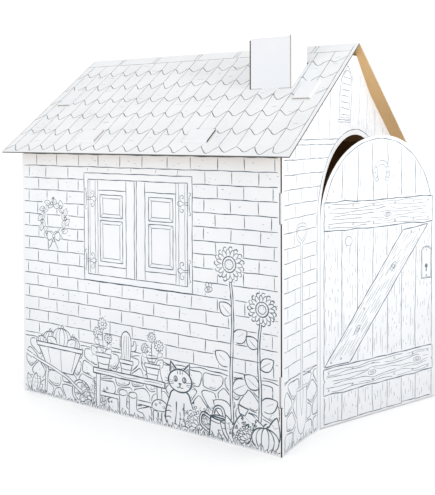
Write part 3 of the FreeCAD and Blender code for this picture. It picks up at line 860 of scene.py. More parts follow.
def brick_courses(x0, x1, z0, z1, width, end=24.0):
    """Bond of uneven bricks: level courses, joints one brick apart and moved by half a brick in
    every other course, with specks and short scratches on the faces. The last joint stands a
    given distance from the end."""
    strokes = []
    for k, z in enumerate(np.arange(z0, z1, COURSE)):
        lift = rng.normal(0, 0.8)
        strokes.append(drawn([(x1, z + lift), (x0, z + lift)], width, step=8.0))
        joints = np.arange(x1 - (end + k % 2 * BRICK / 2) % BRICK, x0 + 14, -BRICK)
        joints = joints + rng.normal(0, 3.0, len(joints))
        top = min(z + COURSE, z1)
        for x in joints:
            lean = rng.normal(0, 0.8)
            strokes.append(drawn([(x, z + 3.0), (x + lean, top - 3.0)], width, step=10.0))
            for mark in range(rng.integers(1, 4)):
                at = np.array([x + rng.uniform(10, BRICK - 12), z + rng.uniform(7, COURSE - 8)])
                long = rng.uniform(1.5, 6.0)
                if at[0] < x1 - 8:
                    strokes.append((np.array([at, at + (long, rng.normal(0, 0.8))]), FINE))
    return strokes


def rubble(x0, x1, top, width):
    """Rubble stones under a waved line. Each stone is the ground nearest to its own centre, with
    its corners rounded: 1 / radius ** 9 is the sum of 1 / distance ** 9 over all its sides."""
    centres = []
    for row, (z, across) in enumerate(((24, 62), (76, 74), (126, 66), (170, 78))):
        for x in np.arange(x0 - across * (0.2 if row % 2 else 0.6), x1 + across, across):
            centres.append((x + rng.normal(0, 9), z + rng.normal(0, 6)))
    centres = np.array(centres)
    strokes = []
    a = np.linspace(0, 2 * math.pi, 29)
    rays = np.stack([np.cos(a), np.sin(a)], 1)
    for centre in centres[(centres[:, 0] > x0 + 6) & (centres[:, 0] < x1 - 6)]:
        away = centres - centre
        far = np.hypot(away[:, 0], away[:, 1])
        near = (far > 1) & (far < 170)
        ways = np.concatenate([away[near] / far[near, None], [(1, 0), (-1, 0), (0, 1), (0, -1)]])
        walls = [x1 - centre[0] - 3, centre[0] - x0 - 3, top - 8 - centre[1], centre[1] + 6]
        sides = np.maximum(np.concatenate([far[near] / 2 - 3.5, walls]), 4)
        radius = ((np.maximum(rays @ ways.T, 0) / sides) ** 9).sum(1) ** (-1 / 9)
        stone = centre + rays * radius[:, None] * (1 + 0.03 * np.sin(3 * a + centre[0]))[:, None]
        stone[:, 1] = np.maximum(stone[:, 1], 2.0)
        strokes.append((stone, width))
        start = rng.integers(17, 22)
        shade = (centre + (stone - centre) * 0.8)[start:start + rng.integers(5, 8)]
        strokes.append((shade, FINE))
        for at in shade[1::2]:
            strokes.append((np.array([at, at + (centre - at) * rng.uniform(0.15, 0.4)]), HAIR))
        spots = centre + rng.uniform(-0.35, 0.35, (2, 2)) * radius.min()
        strokes += [(np.array([at, at + rng.normal(0, 3, 2)]), FINE) for at in spots]
    x = np.arange(x0, x1 + 1, 6.0)
    ledge = top + 3.5 * np.sin(x / 31.0) + 2.0 * np.sin(x / 12.0 + 1.0)
    return strokes + [(np.stack([x, ledge], 1), width)]


def grass(x0, x1, tall):
    """Pointed blades along the ground, each leaning its own way, now and then a broad one."""
    layers = []
    for x in np.arange(x0 + 4, x1 - 4, 10.5):
        lean, high, half = rng.normal(0, 7), tall * rng.uniform(0.4, 1.0), rng.uniform(3.0, 5.5)
        tip, bend = (x + lean, high), x + lean * 0.3
        up = curve([(x - half, 1.5), (bend - half * 0.7, high * 0.55), tip], FINE)
        down = curve([tip, (bend + half * 0.6, high * 0.5), (x + half, 1.5)], FINE)
        layers.append(filled(up, down))
    return stacked(*layers)


def fern(tall, fronds):
    """Fan of bent fronds from one root, each with pairs of short leaflets that get smaller."""
    layers = []
    for angle in np.linspace(-62, 62, fronds):
        a, long = math.radians(angle), tall * (1.0 - 0.25 * abs(angle) / 62)
        share = np.linspace(0, 1, 7)
        path = np.stack([np.sin(a * (0.5 + 0.75 * share)), np.cos(a * (0.4 + 0.6 * share))], 1)
        path *= long * share[:, None]
        for k in range(2, 7):
            size = 0.3 * long * (1.12 - share[k]) + 2.0
            ahead = math.degrees(math.atan2(*(path[k] - path[k - 1])[::-1]))
            layers += [leaf(*path[k], size, ahead + turn, 0.26, FINE, False) for turn in (-52, 52)]
        layers.append(([(path, FINE)], []))
    return stacked(*layers)


def broad_leaves(tall, leaves):
    """Clump of broad ribbed leaves, the outer ones lower."""
    layers = []
    for k in range(leaves):
        angle = 90 - (-1) ** k * (12 + 62 * (leaves - 1 - k) / (leaves - 1))
        long = tall * (0.7 + 0.3 * k / (leaves - 1))
        layers.append(leaf(0, 1, long, angle, 0.2, MEDIUM))
        for share in (0.3, 0.5, 0.7):
            at = ray(angle, long * share)
            tips = [at + ray(angle + math.degrees(turn), 0.13 * long) for turn in (-0.9, 0.9)]
            layers.append(([(np.array([tips[0], at, tips[1]]), HAIR)], []))
    return stacked(*layers)


def shutter_window():
    """Framed opening closed by two shutters, each with a small panel over a tall one and two
    strap hinges with curled ends. It is drawn about the middle of its foot."""
    frame_lines = [block(-210, 211, 0, 341, MEDIUM), block(-193, 194, 20, 321, MEDIUM),
                   drawn([(-5, 20), (-4, 321)], MEDIUM), drawn([(3, 20), (4, 321)], MEDIUM)]
    shutter = [drawn([(x, 22), (x, 319)], width)
               for x, width in ((163, FINE), (152, FINE), (185, HAIR), (37, MEDIUM))]
    shutter += [drawn([(152, z), (37, z)], MEDIUM) for z in (50, 288)]
    for z0, z1 in ((64, 193), (203, 274)):
        outer, sunk = rectangle(51, 142, z0, z1), rectangle(62, 131, z0 + 11, z1 - 11)
        shutter += [drawn(outer, MEDIUM, True), drawn(sunk, FINE, True)]
        shutter += [drawn([outer[k], sunk[k]], HAIR) for k in (0, 1, 3, 2)]
    strap = ([(198, 4), (180, 3), (170, 9), (168, 21), (177, 25), (180, 17), (174, 15)],
             [(170, 9), (160, 4), (158, 0)], [(201, 22), (206, 30), (199, 34)])
    for z in (64, 260):
        shutter.append(drawn([(201, z - 22), (201, z + 22)], MEDIUM))
        shutter += [curve(np.array(line) * (1, up) + (0, z), FINE) for up in (-1, 1) for line in strap]
    return frame_lines + both_sides(*shutter), [rectangle(-210, 211, 0, 341)]


def ink_lines(name, strokes, to_sheet, place, ink, body="house"):
    """All strokes as closed ridges of triangular section, in one object.

    Along a stroke, slow sines of its length with random starts move it to and fro, and make it
    a little wider and narrower. Its two feet are half its width to each side, sunk INK_ROOT into
    the paper, and its crest stands INK_RISE above. Both ends are closed.
    """
    points, quads, caps, first = [], [], [], 0
    for line, width in strokes:
        ahead = np.gradient(line, axis=0)
        left = left_of(ahead / np.maximum(np.hypot(ahead[:, 0], ahead[:, 1]), 1e-9)[:, None])
        run = np.concatenate([[0], np.cumsum(np.hypot(*np.diff(line, axis=0).T))])
        start = rng.uniform(0, 2 * math.pi, 4)
        sway = 0.5 * (np.sin(run / 13.0 + start[0]) + 0.8 * np.sin(run / 37.0 + start[1]))
        half = width / 2 * (1 + 0.16 * np.sin(run / 9.0 + start[2]) + 0.12 * np.sin(run / 21.0 + start[3]))
        if np.hypot(*(line[0] - line[-1])) < 0.01:
            sway = sway * np.sin(math.pi * run / max(run[-1], 1e-9))
        else:
            half = half * np.clip(0.55 + np.minimum(run, run[-1] - run) / 4.0, 0, 1)
        middle, foot = line + left * sway[:, None], left * half[:, None]
        points.append(np.stack([middle + foot, middle - foot, middle], 1).reshape(-1, 2))
        last = first + 3 * (len(line) - 1)
        k = np.arange(first, last, 3)[:, None]
        quads.append(np.concatenate([k + [2, 5, 3, 0], k + [1, 4, 5, 2], k + [0, 3, 4, 1]]))
        caps += [[first + 1, first + 2, first], [last, last + 2, last + 1]]
        first = last + 3
    sheet = to_sheet(np.concatenate(points))
    depth = np.tile([INK_ROOT, INK_ROOT, -INK_RISE], len(sheet) // 3)
    faces = np.concatenate(quads).tolist() + caps
    add_mesh(name, place(sheet[:, 0], sheet[:, 1], depth), faces, [ink], body)


def printing_ink(name, colour, thin):
    """Water-based ink on uncoated paper: one colour, lighter in patches where it is thin."""
    material, shader = new_material(name, {"Roughness": 0.65, "Specular IOR Level": 0.2})
    place = add_node(shader, "TexCoord", {}).outputs["Object"]
    patches = add_node(shader, "TexNoise", {"Vector": place, "Scale": 60.0, "Detail": 4.0})
    two_colours(shader, patches, 0.38, 0.66, (colour, thin))
    return material


def masonry(x0, x1, first, top, line, stone_line, last_joint=24.0):
    """Courses of brick from the first one up to the top, over a foot of rubble."""
    return brick_courses(x0, x1, first, top, line, last_joint) + rubble(x0, x1, STONE_TOP, stone_line)


def print_wall(name, wall, garden, near, face, along, place, ink):
    """A wall's whole print, cut off at its face: the wall itself, what stands or hangs on it, each
    with its place, and what is drawn over them. The place along the sheet is x + along."""
    strokes = stacked((wall, []), *(moved(*row) for row in garden), *near)[0]
    ink_lines(name, within(strokes, face), lambda points: points + (along, 0), place, ink)


wall_ink = printing_ink("wall_ink", (0.034, 0.055, 0.077), (0.105, 0.145, 0.175))
left, right = -HALF_LENGTH + WALL_MARGIN, HALF_LENGTH - 4.5
wall_face = rectangle(left, right, 2.8, WALL_TOP)
LONG_WALL_MIDDLE = 2 * HALF_DEPTH + HALF_LENGTH     # along the sheet
PRESS = 1.28            # some of the garden is drawn this much bolder than the rest
print_wall("print_window_wall", masonry(left, right, FIRST_COURSE, WALL_TOP - 3, MEDIUM, 3.8),
           [(shutter_window(), -5, 410), (wreath(54), -352, 592), (sunflower(506, 50, -14), 346, 2, 1.2),
            (sunflower(392, 46, 14), 424, 2, 1.3), (bee(), 262, 430), (broad_leaves(70, 7), -452),
            (wheelbarrow(), -320, 2, 1.1, 0.98), (fern(96, 5), -176), (bench(), -38, 2, 1.2, 1.08),
            (mushrooms(), 86, 2, PRESS, 1.1), (cat(), 160, 2, 1.45, 1.2), (fern(96, 6), 232),
            (watering_can(), 262, 2, 1.5), (broad_leaves(88, 7), 352, 2, 1.5),
            (broad_leaves(104, 5), 462, 2, 1.5), (fern(84, 6), 396, 2, 1.25),
            (pumpkin(43, 33), 447, 36, 1.6)],
           [grass(left, right, 27)], wall_face, LONG_WALL_MIDDLE, front_place, wall_ink)


# ------------------------------------------------------------------ print on the far gable
# The gable away from the door: the same bricks and stones with a beam over them, upright boards
# above the beam, a slim vent under the peak, and an arched window with a flower box.

BEAM, BEAM_TOP = 842.0, 857.0
BEAM_LINE, BOARD_LINE = 2.9, 2.7
BOARD_WIDTH = 73.0
BOARDS_FROM = -416.0


def gable_shape(margin):
    """The gable's own outline moved in by a margin, about its middle line."""
    lower, half = WALL_TOP - margin * (1 / COS - TAN), HALF_DEPTH - margin
    peak_half = (GABLE_TOP - margin / COS - PEAK + margin) / TAN
    right = np.array([(half, 3), (half, lower), (peak_half, PEAK - margin)])
    return np.concatenate([right[:1] * (-1, 1), right, (right * (-1, 1))[:0:-1]])


def upright_grain(x0, x1, z0, z1, lane=11.5, width=HAIR):
    """Grain of a sawn board that stands up: short strokes one above another in a few lanes, each
    lane a little uneven, with a wavy longer one now and then."""
    strokes = []
    for x in np.arange(x0 + 9, x1 - 6, lane):
        z = z0 + rng.uniform(2, 45)
        while z < z1 - 8:
            long = min(rng.uniform(6, 24) if rng.uniform() < 0.72 else rng.uniform(34, 70), z1 - 4 - z)
            bend, at = rng.normal(0, 1.5), x + rng.normal(0, 2.0)
            line = [(at, z), (at + bend, z + long * 0.4), (at - bend * 0.5, z + long)]
            strokes.append(curve(line, width, step=8))
            z += long + rng.uniform(14, 60)
    return strokes


def gable_wall(line, stone_line, last_joint=24.0):
    """Masonry of one gable up to the beam, and upright boards between the beam and the slopes."""
    half = HALF_DEPTH - WALL_MARGIN
    bricks = masonry(-half, half, FIRST_COURSE - 8, BEAM, line, stone_line, last_joint)
    strokes = [drawn([(-420, z), (420, z)], BEAM_LINE) for z in (BEAM, BEAM_TOP)]
    for x in np.arange(BOARDS_FROM, 420, BOARD_WIDTH):
        strokes.append(drawn([(x, BEAM_TOP + 1), (x + 1, PEAK)], BOARD_LINE, step=12))
        strokes += upright_grain(x, x + BOARD_WIDTH, BEAM_TOP + 2, PEAK, 17.0, 1.2)
    return within(bricks, gable_shape(WALL_MARGIN)) + within(strokes, gable_shape(WALL_MARGIN + 2))


def louvre(half=42, tall=168):
    """Slim pointed vent with sloping slats, about the middle of its foot."""
    outline = []
    for reach, foot, tip in ((1.0, 0, tall), (0.74, 6, tall - 14)):
        side = reach * half
        right = curve([(side, foot), (side, tall * 0.62), (side * 0.62, tall * 0.85), (0, tip)], FINE)[0]
        outline.append(np.concatenate([right, (right * (-1, 1))[::-1]]))
    slats = [drawn([(-0.7 * half, z), (0.7 * half, z - 4)], HAIR) for z in np.arange(18, tall * 0.8, 19)]
    sides = [(np.concatenate([line, line[:1]]), width) for line, width in zip(outline, (FINE, HAIR))]
    return sides + within(slats, outline[1]) + [block(-half - 6, half + 6, -7, 0, HAIR)], [outline[0]]


def arched_window():
    """Window of six panes under a round head, with a sill and a box of daisies."""
    over = [oval(0, 250, r, r, MEDIUM, 0, 180) for r in (112, 96)]
    sides = [drawn([(x, 250), (x, 0)], MEDIUM) for x in (-112, -96, 112, 96)]
    bars = [drawn([(x, 14), (x, 344)], FINE) for x in (-5, 5)]
    bars += [drawn([(-96, z), (96, z)], FINE) for z in (14, 128, 138, 245, 255)]
    bars += both_sides(drawn([(52, 255), (66, 318)], FINE))
    outline = np.concatenate([over[0][0], [(-112, 0), (112, 0)]])
    layers = [(over + sides + bars, [outline]), filled(block(-128, 128, -16, 0, MEDIUM))]
    for k, x in enumerate(range(-96, 100, 32)):
        layers.append(daisy(x + rng.normal(0, 4), -2 + 22 * (k % 2), x * 0.9, -62, 16))
        layers.append(leaf(x + 10, -58, 34, 60 + 60 * (k % 2), 0.34))
    planter = drawn([(-118, -60), (118, -60), (110, -112), (-110, -112)], BOLD, True)
    slats = [drawn([(-114, z), (114, z)], FINE) for z in (-77, -94)]
    return stacked(*layers, filled(planter, inner=slats))


def hollyhock(height, sway):
    """Straight stem with round lobed leaves low down, open flowers above and buds at the tip."""
    share = np.linspace(0, 1, 12)
    path = np.stack([sway * np.sin(2.6 * share), height * share], 1)
    layers = []
    for k, s in enumerate(np.linspace(0.06, 0.42, 6)):
        x, z, reach = np.interp(s, share, path[:, 0]), height * s, 46 - 40 * s
        side = reach if k % 2 else -reach
        layers.append(([drawn([(x, z), (x + side * 0.6, z + 12)], FINE)], []))
        layers.append(rosette(x + side, z + 18, reach * 0.42, reach * 0.6, 5, MEDIUM, 0.5 * k))
    layers.append(tube(path, (7, 4), FINE))
    for k, s in enumerate(np.linspace(0.46, 0.9, 8)):
        x, z, r = np.interp(s, share, path[:, 0]) + (13 if k % 2 else -13), height * s, 30 - 20 * (s - 0.4)
        layers += [rosette(x, z, r * 0.72, r, 5, MEDIUM, k), rosette(x, z, r * 0.3, r * 0.42, 5, FINE, k)]
    for k, s in enumerate((0.94, 0.965, 0.99)):
        layers.append(filled(oval(np.interp(s, share, path[:, 0]) + (8 - 8 * k), height * s, 6, 8, FINE)))
    return stacked(*layers)


print_wall("print_far_gable", gable_wall(MEDIUM, MEDIUM),
           [(louvre(), 0, 916), (arched_window(), 0, 400), (hollyhock(560, 14), -290),
            (sunflower(430, 44, 12), 290), (broad_leaves(80, 7), 340), (fern(90, 7), -370),
            (pumpkin(46, 36), -330, 38), (pumpkin(34, 27), -262, 30), (mushrooms(), 200, 2, 1.0, 1.1),
            (fern(84, 7), 120), (pumpkin(42, 32), -110, 34), (watering_can(), 20, 2, 1.0, 0.9)],
           [grass(-HALF_DEPTH + 20, HALF_DEPTH - 22, 24)],
           gable_shape(2.0), HALF_DEPTH, front_place, wall_ink)


# ------------------------------------------------------------------ back wall panel
# The same sheet folded the same way, set on the house's other two sides: door gable and back
# wall. The doorway is cut in its gable from the floor up to a round arch.

DOORWAY_MIDDLE, DOORWAY_RADIUS, DOORWAY_SPRING = 70.0, 256.0, 614.0


def arch(middle, radius, spring, start=180.0, end=0.0):
    """Points of a round arch over a spring line, by angle in degrees."""
    angle = np.radians(np.linspace(start, end, 40))
    return np.stack([middle + radius * np.cos(angle), spring + radius * np.sin(angle)], 1)


def doorway_edge(grow=0.0):
    """The doorway's edge in (s, t) from the floor on the hinge side, over the arch and down."""
    over = arch(HALF_DEPTH + DOORWAY_MIDDLE, DOORWAY_RADIUS + grow, DOORWAY_SPRING)
    return np.concatenate([over[:1] * (1, 0), over, over[-1:] * (1, 0)])


back_section = folded([(HALF_LENGTH, -HALF_DEPTH), (HALF_LENGTH, HALF_DEPTH),
                       (-HALF_LENGTH + BOARD + SEAT_GAP, HALF_DEPTH)])
back_place = upright(back_section)
plain = panel_outline()
back_panel = board(back_section, back_place, plain[:1] + doorway_edge().tolist() + plain[1:], cell=30.0)
back_tabs = gable_tabs() + corner_tabs() + half_turned(eave_tabs())
add_piece("back_wall", "back_wall_panel", [back_panel] + back_tabs, BOARD_PAPERS)


# ------------------------------------------------------------------ print on the door gable
# Bricks and stones on both piers, a plain border round the doorway, and boards with a slim vent
# above. A spade stands against the wider pier. The ink is paler here than on the long walls.

ARCH_BORDER = 17.0
DOORWAY_FREE_SIDE = DOORWAY_MIDDLE + DOORWAY_RADIUS


def spade(tall):
    """Long-handled spade that stands on its blade: ribbed blade, shaft and a closed grip."""
    side = np.array([(10, 4), (24, 26), (30, 70), (29, 128)])
    blade = curve([*(side * (-1, 1))[::-1], (0, 0), *side], MEDIUM)
    ribs = both_sides(curve([(9, 128), (7.2, 90), (0, 52)], FINE))
    shaft = tube([(0, 128), (1, tall * 0.55), (0, tall - 44)], 10, MEDIUM)
    foot, hand = tall - 46, tall - 28
    grip = tube([(0, foot), (-24, hand), (-22, tall), (22, tall), (24, hand), (0, foot)], 9, FINE)
    return stacked(filled(blade, inner=ribs), filled(block(-34, 34, 128, 136, FINE)), shaft, (grip[0], []))


gable_ink = printing_ink("gable_ink", (0.085, 0.115, 0.145), (0.20, 0.25, 0.29))
border = doorway_edge(ARCH_BORDER) - (HALF_DEPTH, 0)
print_wall("print_door_gable", gable_wall(BEAM_LINE, 4.6, 75.0),
           [(louvre(), -18, 916, 1.5), (spade(590), -298, 24, 1.15)],
           [grass(-HALF_DEPTH + 14, DOORWAY_HINGE_SIDE - 22, 25),
            grass(DOORWAY_FREE_SIDE + 20, HALF_DEPTH - 18, 22), ([drawn(border, MEDIUM)], [border])],
           gable_shape(2.0), HALF_DEPTH, back_place, gable_ink)


# ------------------------------------------------------------------ print on the back wall
# The long wall away from the window wall has the same masonry and window, set nearer to one end,
# and the garden's pieces in another order.

half = HALF_LENGTH - WALL_MARGIN
print_wall("print_back_wall", masonry(-half, half, FIRST_COURSE, WALL_TOP - 3, MEDIUM, MEDIUM),
           [(shutter_window(), 130, 410), (wreath(58), -240, 600), (sunflower(470, 46, 18), -400),
            (sunflower(380, 40, -12), -318), (bee(), -200, 420), (fern(80, 7), -60),
            (bench(), 110, 2, PRESS, 1.0, True), (fern(92, 7), 236),
            (wheelbarrow(), 346, 2, PRESS, 0.86, True), (cat(), -120, 2, PRESS), (broad_leaves(76, 9), -270),
            (watering_can(), -200, 2, PRESS, 0.86, True), (pumpkin(40, 31), -440, 33)],
           [grass(-HALF_LENGTH + 14, HALF_LENGTH - 14, 24)],
           wall_face, LONG_WALL_MIDDLE, back_place, wall_ink)


# ------------------------------------------------------------------ door leaf
# The arched flap that the doorway's cut leaves, of the same board, with the outside white and
# the inside kraft. It hangs on its crease beside the wide pier, and stands swung out a little.

DOOR_ANGLE = math.radians(22.7)
DOOR_WIDTH, DOOR_RADIUS, DOOR_FOOT = 511.0, 255.0, 2.0
DOOR_MIDDLE = DOOR_WIDTH - DOOR_RADIUS
door_hinge = np.array([HALF_LENGTH, -186.0])
door_reach = DOOR_WIDTH * np.array([math.sin(DOOR_ANGLE), math.cos(DOOR_ANGLE)])
door_section = folded([door_hinge, door_hinge + door_reach])
door_place = upright(door_section, bend=lambda points: points)
over = arch(DOOR_MIDDLE, DOOR_RADIUS, DOORWAY_SPRING, 0.0, 180.0)
door_outline = [(over[-1, 0], DOOR_FOOT), (over[0, 0], DOOR_FOOT), *over]
add_piece("door", "door_leaf", [board(door_section, door_place, door_outline)], BOARD_PAPERS, "door")


# ------------------------------------------------------------------ print on the door
# Drawn planks held by two rails and a brace, with nails, knots and grain, a lock plate at the
# free side and a horseshoe nailed over the upper rail.

DOOR_MARGIN_SIDE, DOOR_MARGIN_TOP = 16.0, 11.0
PLANKS = (87.0, 153.0, 219.0, 282.0, 346.0, 412.0)
UPPER_RAIL, LOWER_RAIL = (584.0, 669.0), (95.0, 174.0)
PLANK_FOOT, PLANK_TOP, GRAIN_TOP = 6.0, 880.0, 870.0     # both tops are cut off at the arch


def nail(x, z):
    """Small ring for a nail's head."""
    return oval(x, z, 2.6, 2.6, FINE)


def rail(x0, x1, z0, z1, knots):
    """Sawn board laid across: uneven edges, long wavy grain that swells round its knots, and
    pairs of nails."""
    x, middle = np.linspace(x0, x1, 12), (z0 + z1) / 2
    top, foot = (np.stack([x, z + rng.normal(0, 1.3, 12)], 1) for z in (z1, z0))
    strokes = [drawn(top, BOLD), drawn(foot, BOLD)]
    for end, last, bends in ((x0, x0 - 1, ((1, 8), (5, 3), (0, -4))),
                             (x1, x1, ((1, 2), (-4, -3), (0, -9)))):
        worn = [(end + dx, middle + dz) for dx, dz in bends]
        strokes.append(curve([(end, z1), *worn, (last, z0)], MEDIUM))
    for level in np.linspace(z0 + 9, z1 - 9, 7):
        x = np.arange(x0 + rng.uniform(6, 40), x1 - rng.uniform(6, 40), 9.0)
        z = level + 2.2 * np.sin(x / 47.0 + level) + 1.3 * np.sin(x / 19.0 + 2 * level)
        for kx, kz in knots:
            near = np.exp(-((x - kx) / 26.0) ** 2) * math.exp(-((level - kz) / 26.0) ** 2)
            z += 9 * np.sign(level - kz + 0.01) * near
        cut, grain = rng.integers(4, len(x) - 4), np.stack([x, z], 1)
        strokes += [(grain[:cut], FINE), (grain[cut + 1:], HAIR)]
    for kx, kz in knots:
        strokes += [oval(kx, kz, 17, 7, FINE), oval(kx + 1, kz, 8, 3, FINE)]
    for x in (x0 + 20, x0 + 118, x0 + 205, x0 + 300, x0 + 385, x1 - 22):
        strokes += [nail(x, z0 + 14), nail(x, z1 - 14)]
    return strokes, [np.concatenate([top, foot[::-1]])]


def brace(low_left, low_right, high_left, high_right):
    """Slanting board between the rails with grain along it, two knots and nails."""
    corners = np.array([low_left, low_right, high_right, high_left], float)

    def at(across, up):
        """The place that far across the board and up along it, as shares of both."""
        low = corners[0] + (corners[1] - corners[0]) * across
        return low + (corners[3] + (corners[2] - corners[3]) * across - low) * up

    strokes = [drawn(corners[[a, b]], BOLD) for a, b in ((0, 3), (1, 2), (0, 1), (3, 2))]
    for across in np.linspace(0.1, 0.9, 8):
        start = rng.uniform(0.02, 0.08)
        while start < 0.94:
            end = min(start + rng.uniform(0.04, 0.15), 0.98)
            strokes.append((at(across + rng.normal(0, 0.015), np.linspace(start, end, 5)[:, None]), HAIR))
            start = end + rng.uniform(0.02, 0.07)
    for up in (0.24, 0.7):
        strokes += [oval(*at(0.5, up), rx, rz, FINE, lean=48) for rx, rz in ((16, 7), (7, 3))]
    for x, z in ((44, 190), (84, 196), (392, 556), (430, 560), (180, 335), (300, 455)):
        strokes.append(nail(x, z))
    return strokes, [corners]


def lock_plate(x0, x1, z0, z1):
    """Plate with a round head, its keyhole filled in with close strokes."""
    half, centre = (x1 - x0) / 2, np.array([x0 + x1, z0 + z1]) / 2
    middle = centre[0]
    head = oval(middle, z1 - half * 0.7, half, half * 0.7, MEDIUM, 0, 180)
    outline = np.concatenate([head[0], [(x0, z0), (x1, z0)]])
    edges = [drawn(outline, MEDIUM, True), drawn((outline - centre) * (0.84, 0.93) + centre, HAIR, True)]
    hole = [oval(middle, z0 + 41, r, r, BOLD) for r in (2.2, 5.0)]
    hole += [drawn([(middle, z0 + 38), (middle + dx, z0 + 22)], BOLD) for dx in (-2, 0, 2)]
    return edges + hole + [oval(middle, z, 2.4, 2.4, FINE) for z in (z0 + 9, z1 - 12)], [outline]


def horseshoe():
    """Open shoe with its ends down and nail heads round it."""
    outer, inner = oval(0, 0, 34, 38, FINE, -48, 228)[0], oval(0, 0, 21, 26, FINE, -52, 232)[0]
    shape = np.concatenate([outer, inner[::-1]])
    heads = [oval(*ray(a, 1) * (27.5, 32), 2.2, 2.2, FINE) for a in (-30, 0, 32, 148, 180, 210)]
    return [(np.concatenate([shape, shape[:1]]), FINE)] + heads, [shape]


u0, u1 = DOOR_MARGIN_SIDE, DOOR_WIDTH - DOOR_MARGIN_SIDE - 6.0
half_field = (u1 - u0) / 2
head_line = arch((u0 + u1) / 2, half_field, 0.0, 0.0, 180.0)
head_line = head_line * (1, (DOOR_RADIUS - DOOR_MARGIN_TOP) / half_field)
door_field = np.concatenate([[(u0, PLANK_FOOT), (u1, PLANK_FOOT)], head_line + (0, DOORWAY_SPRING)])
planks = []
for left, right in zip((u0, *PLANKS), (*PLANKS, u1)):
    foot = PLANK_FOOT + rng.uniform(0.5, 6.0)
    planks.append(drawn([(left, foot), (right, foot)], MEDIUM))
    planks += upright_grain(left, right, PLANK_FOOT, LOWER_RAIL[0])
    planks += upright_grain(left, right, LOWER_RAIL[1], UPPER_RAIL[0], width=1.5)
    planks += upright_grain(left, right, UPPER_RAIL[1], GRAIN_TOP, 15.0, 1.5)
for x in PLANKS:
    joint = [(x + rng.normal(0, 1.6), z) for z in np.arange(PLANK_FOOT, PLANK_TOP, 72.0)]
    planks.append(curve(joint, MEDIUM, step=8))
planks = within(planks, door_field) + [drawn(np.roll(door_field, -1, 0), MEDIUM)]
door_print = stacked((planks, []), filled(oval(116, 548, 14, 14, FINE)), lock_plate(440, 488, 398, 503),
                     brace((18, 180), (120, 180), (353, 565), (470, 577)),
                     rail(u0, u1 + 4, *UPPER_RAIL, [(282, 620)]),
                     rail(u0 - 2, u1 + 4, *LOWER_RAIL, [(215, 132), (420, 138)]),
                     moved(horseshoe(), DOOR_MIDDLE, 752))
ink_lines("print_door", door_print[0], lambda points: points, door_place, gable_ink, "door")


# ------------------------------------------------------------------ roof panel
# One sheet creased along the ridge. The wall tabs come up through its slots, and the chimney's
# feet and tongue go down through the three beside them.

SLOT_CLEARANCE, SLOT_END = 0.4, 1.0     # air beside a board in its slot, and at each end
EAVE = RIDGE - ROOF_HALF_DEPTH * TAN
roof_section = folded([(ROOF_HALF_DEPTH, EAVE), (0, RIDGE), (-ROOF_HALF_DEPTH, EAVE)])
roof_place = level(roof_section)
SLOPE = roof_section.length / 2
CHIMNEY_RIGHT, CHIMNEY_WIDTH = 413.5, 144.0
CHIMNEY_FRONT, CHIMNEY_BACK = 200.0, 92.0
CHIMNEY_MIDDLE = CHIMNEY_RIGHT - CHIMNEY_WIDTH / 2
CHIMNEY_FOOT_FROM_RIDGE, CHIMNEY_FOOT_WIDTH = (CHIMNEY_FRONT + CHIMNEY_BACK) / 2 / COS, 70.0
CHIMNEY_SLOT_TOP = CHIMNEY_BACK / COS - 10.0
TONGUE_WIDTH = 60.0


def slope_rectangle(side, near, far, x0, x1):
    """Rectangle between two distances down a slope from the ridge: side 1 is the front slope."""
    return rectangle(*sorted((SLOPE + side * near, SLOPE + side * far)), x0, x1)


def long_slot(side, outer, middle, width):
    """Slot for a board along the ridge whose outer face is that far from it on plan. It leans so
    that it stays upright through the sheet."""
    near, far = (outer - BOARD - SLOT_CLEARANCE) / COS, (outer + SLOT_CLEARANCE) / COS
    half = width / 2 + SLOT_END
    return slope_rectangle(side, near, far, middle - half, middle + half), side * TAN


def cross_slot(side, face, way, near, far):
    """Slot for a board across the ridge whose outer face is at x = face and looks the way of x."""
    across = sorted((face + way * SLOT_CLEARANCE, face - way * (BOARD + SLOT_CLEARANCE)))
    return slope_rectangle(side, near, far, *across), 0.0


gable_half = GABLE_TAB_WIDTH / 2 + SLOT_END
gable_reach = (GABLE_TAB_FROM_RIDGE - gable_half, GABLE_TAB_FROM_RIDGE + gable_half)
chimney_reach = (CHIMNEY_SLOT_TOP, CHIMNEY_FOOT_FROM_RIDGE + CHIMNEY_FOOT_WIDTH / 2 + SLOT_END)
roof_slots = []
for side in (-1, 1):
    roof_slots += [long_slot(side, HALF_DEPTH, way * EAVE_TAB_OFFSET, EAVE_TAB_WIDTH) for way in (-1, 1)]
    roof_slots += [cross_slot(side, way * HALF_LENGTH, way, *gable_reach) for way in (-1, 1)]
roof_slots += [cross_slot(1, CHIMNEY_MIDDLE + way * CHIMNEY_WIDTH / 2, way, *chimney_reach)
               for way in (-1, 1)]
roof_slots.append(long_slot(1, CHIMNEY_FRONT, CHIMNEY_MIDDLE, TONGUE_WIDTH))
roof_sheet = rectangle(0, roof_section.length, -ROOF_HALF_LENGTH, ROOF_HALF_LENGTH)
roof_paper = paper("roof_paper", (0.748, 0.759, 0.771), (0.69, 0.704, 0.717), 0.6, 0.15, 0.7)
# Front slope's cut edges: near-black grey, painted shade for the shadow line under the eave and along the
# rake. The back slope's edges (back_edge) are a pale copy.
roof_edge_painted_shade = paper("roof_edge_painted_shade", (0.15, 0.145, 0.14), (0.1, 0.097, 0.094), 0.85, 0.0, 0.9)
back_edge = paper("back_edge", (0.66, 0.6, 0.53), (0.54, 0.48, 0.41), 0.85, 0.0, 0.9)
roof_liner = paper("roof_liner", (0.66, 0.43, 0.205), (0.57, 0.36, 0.16), 0.75, 0.5, 0.9, 0.5)
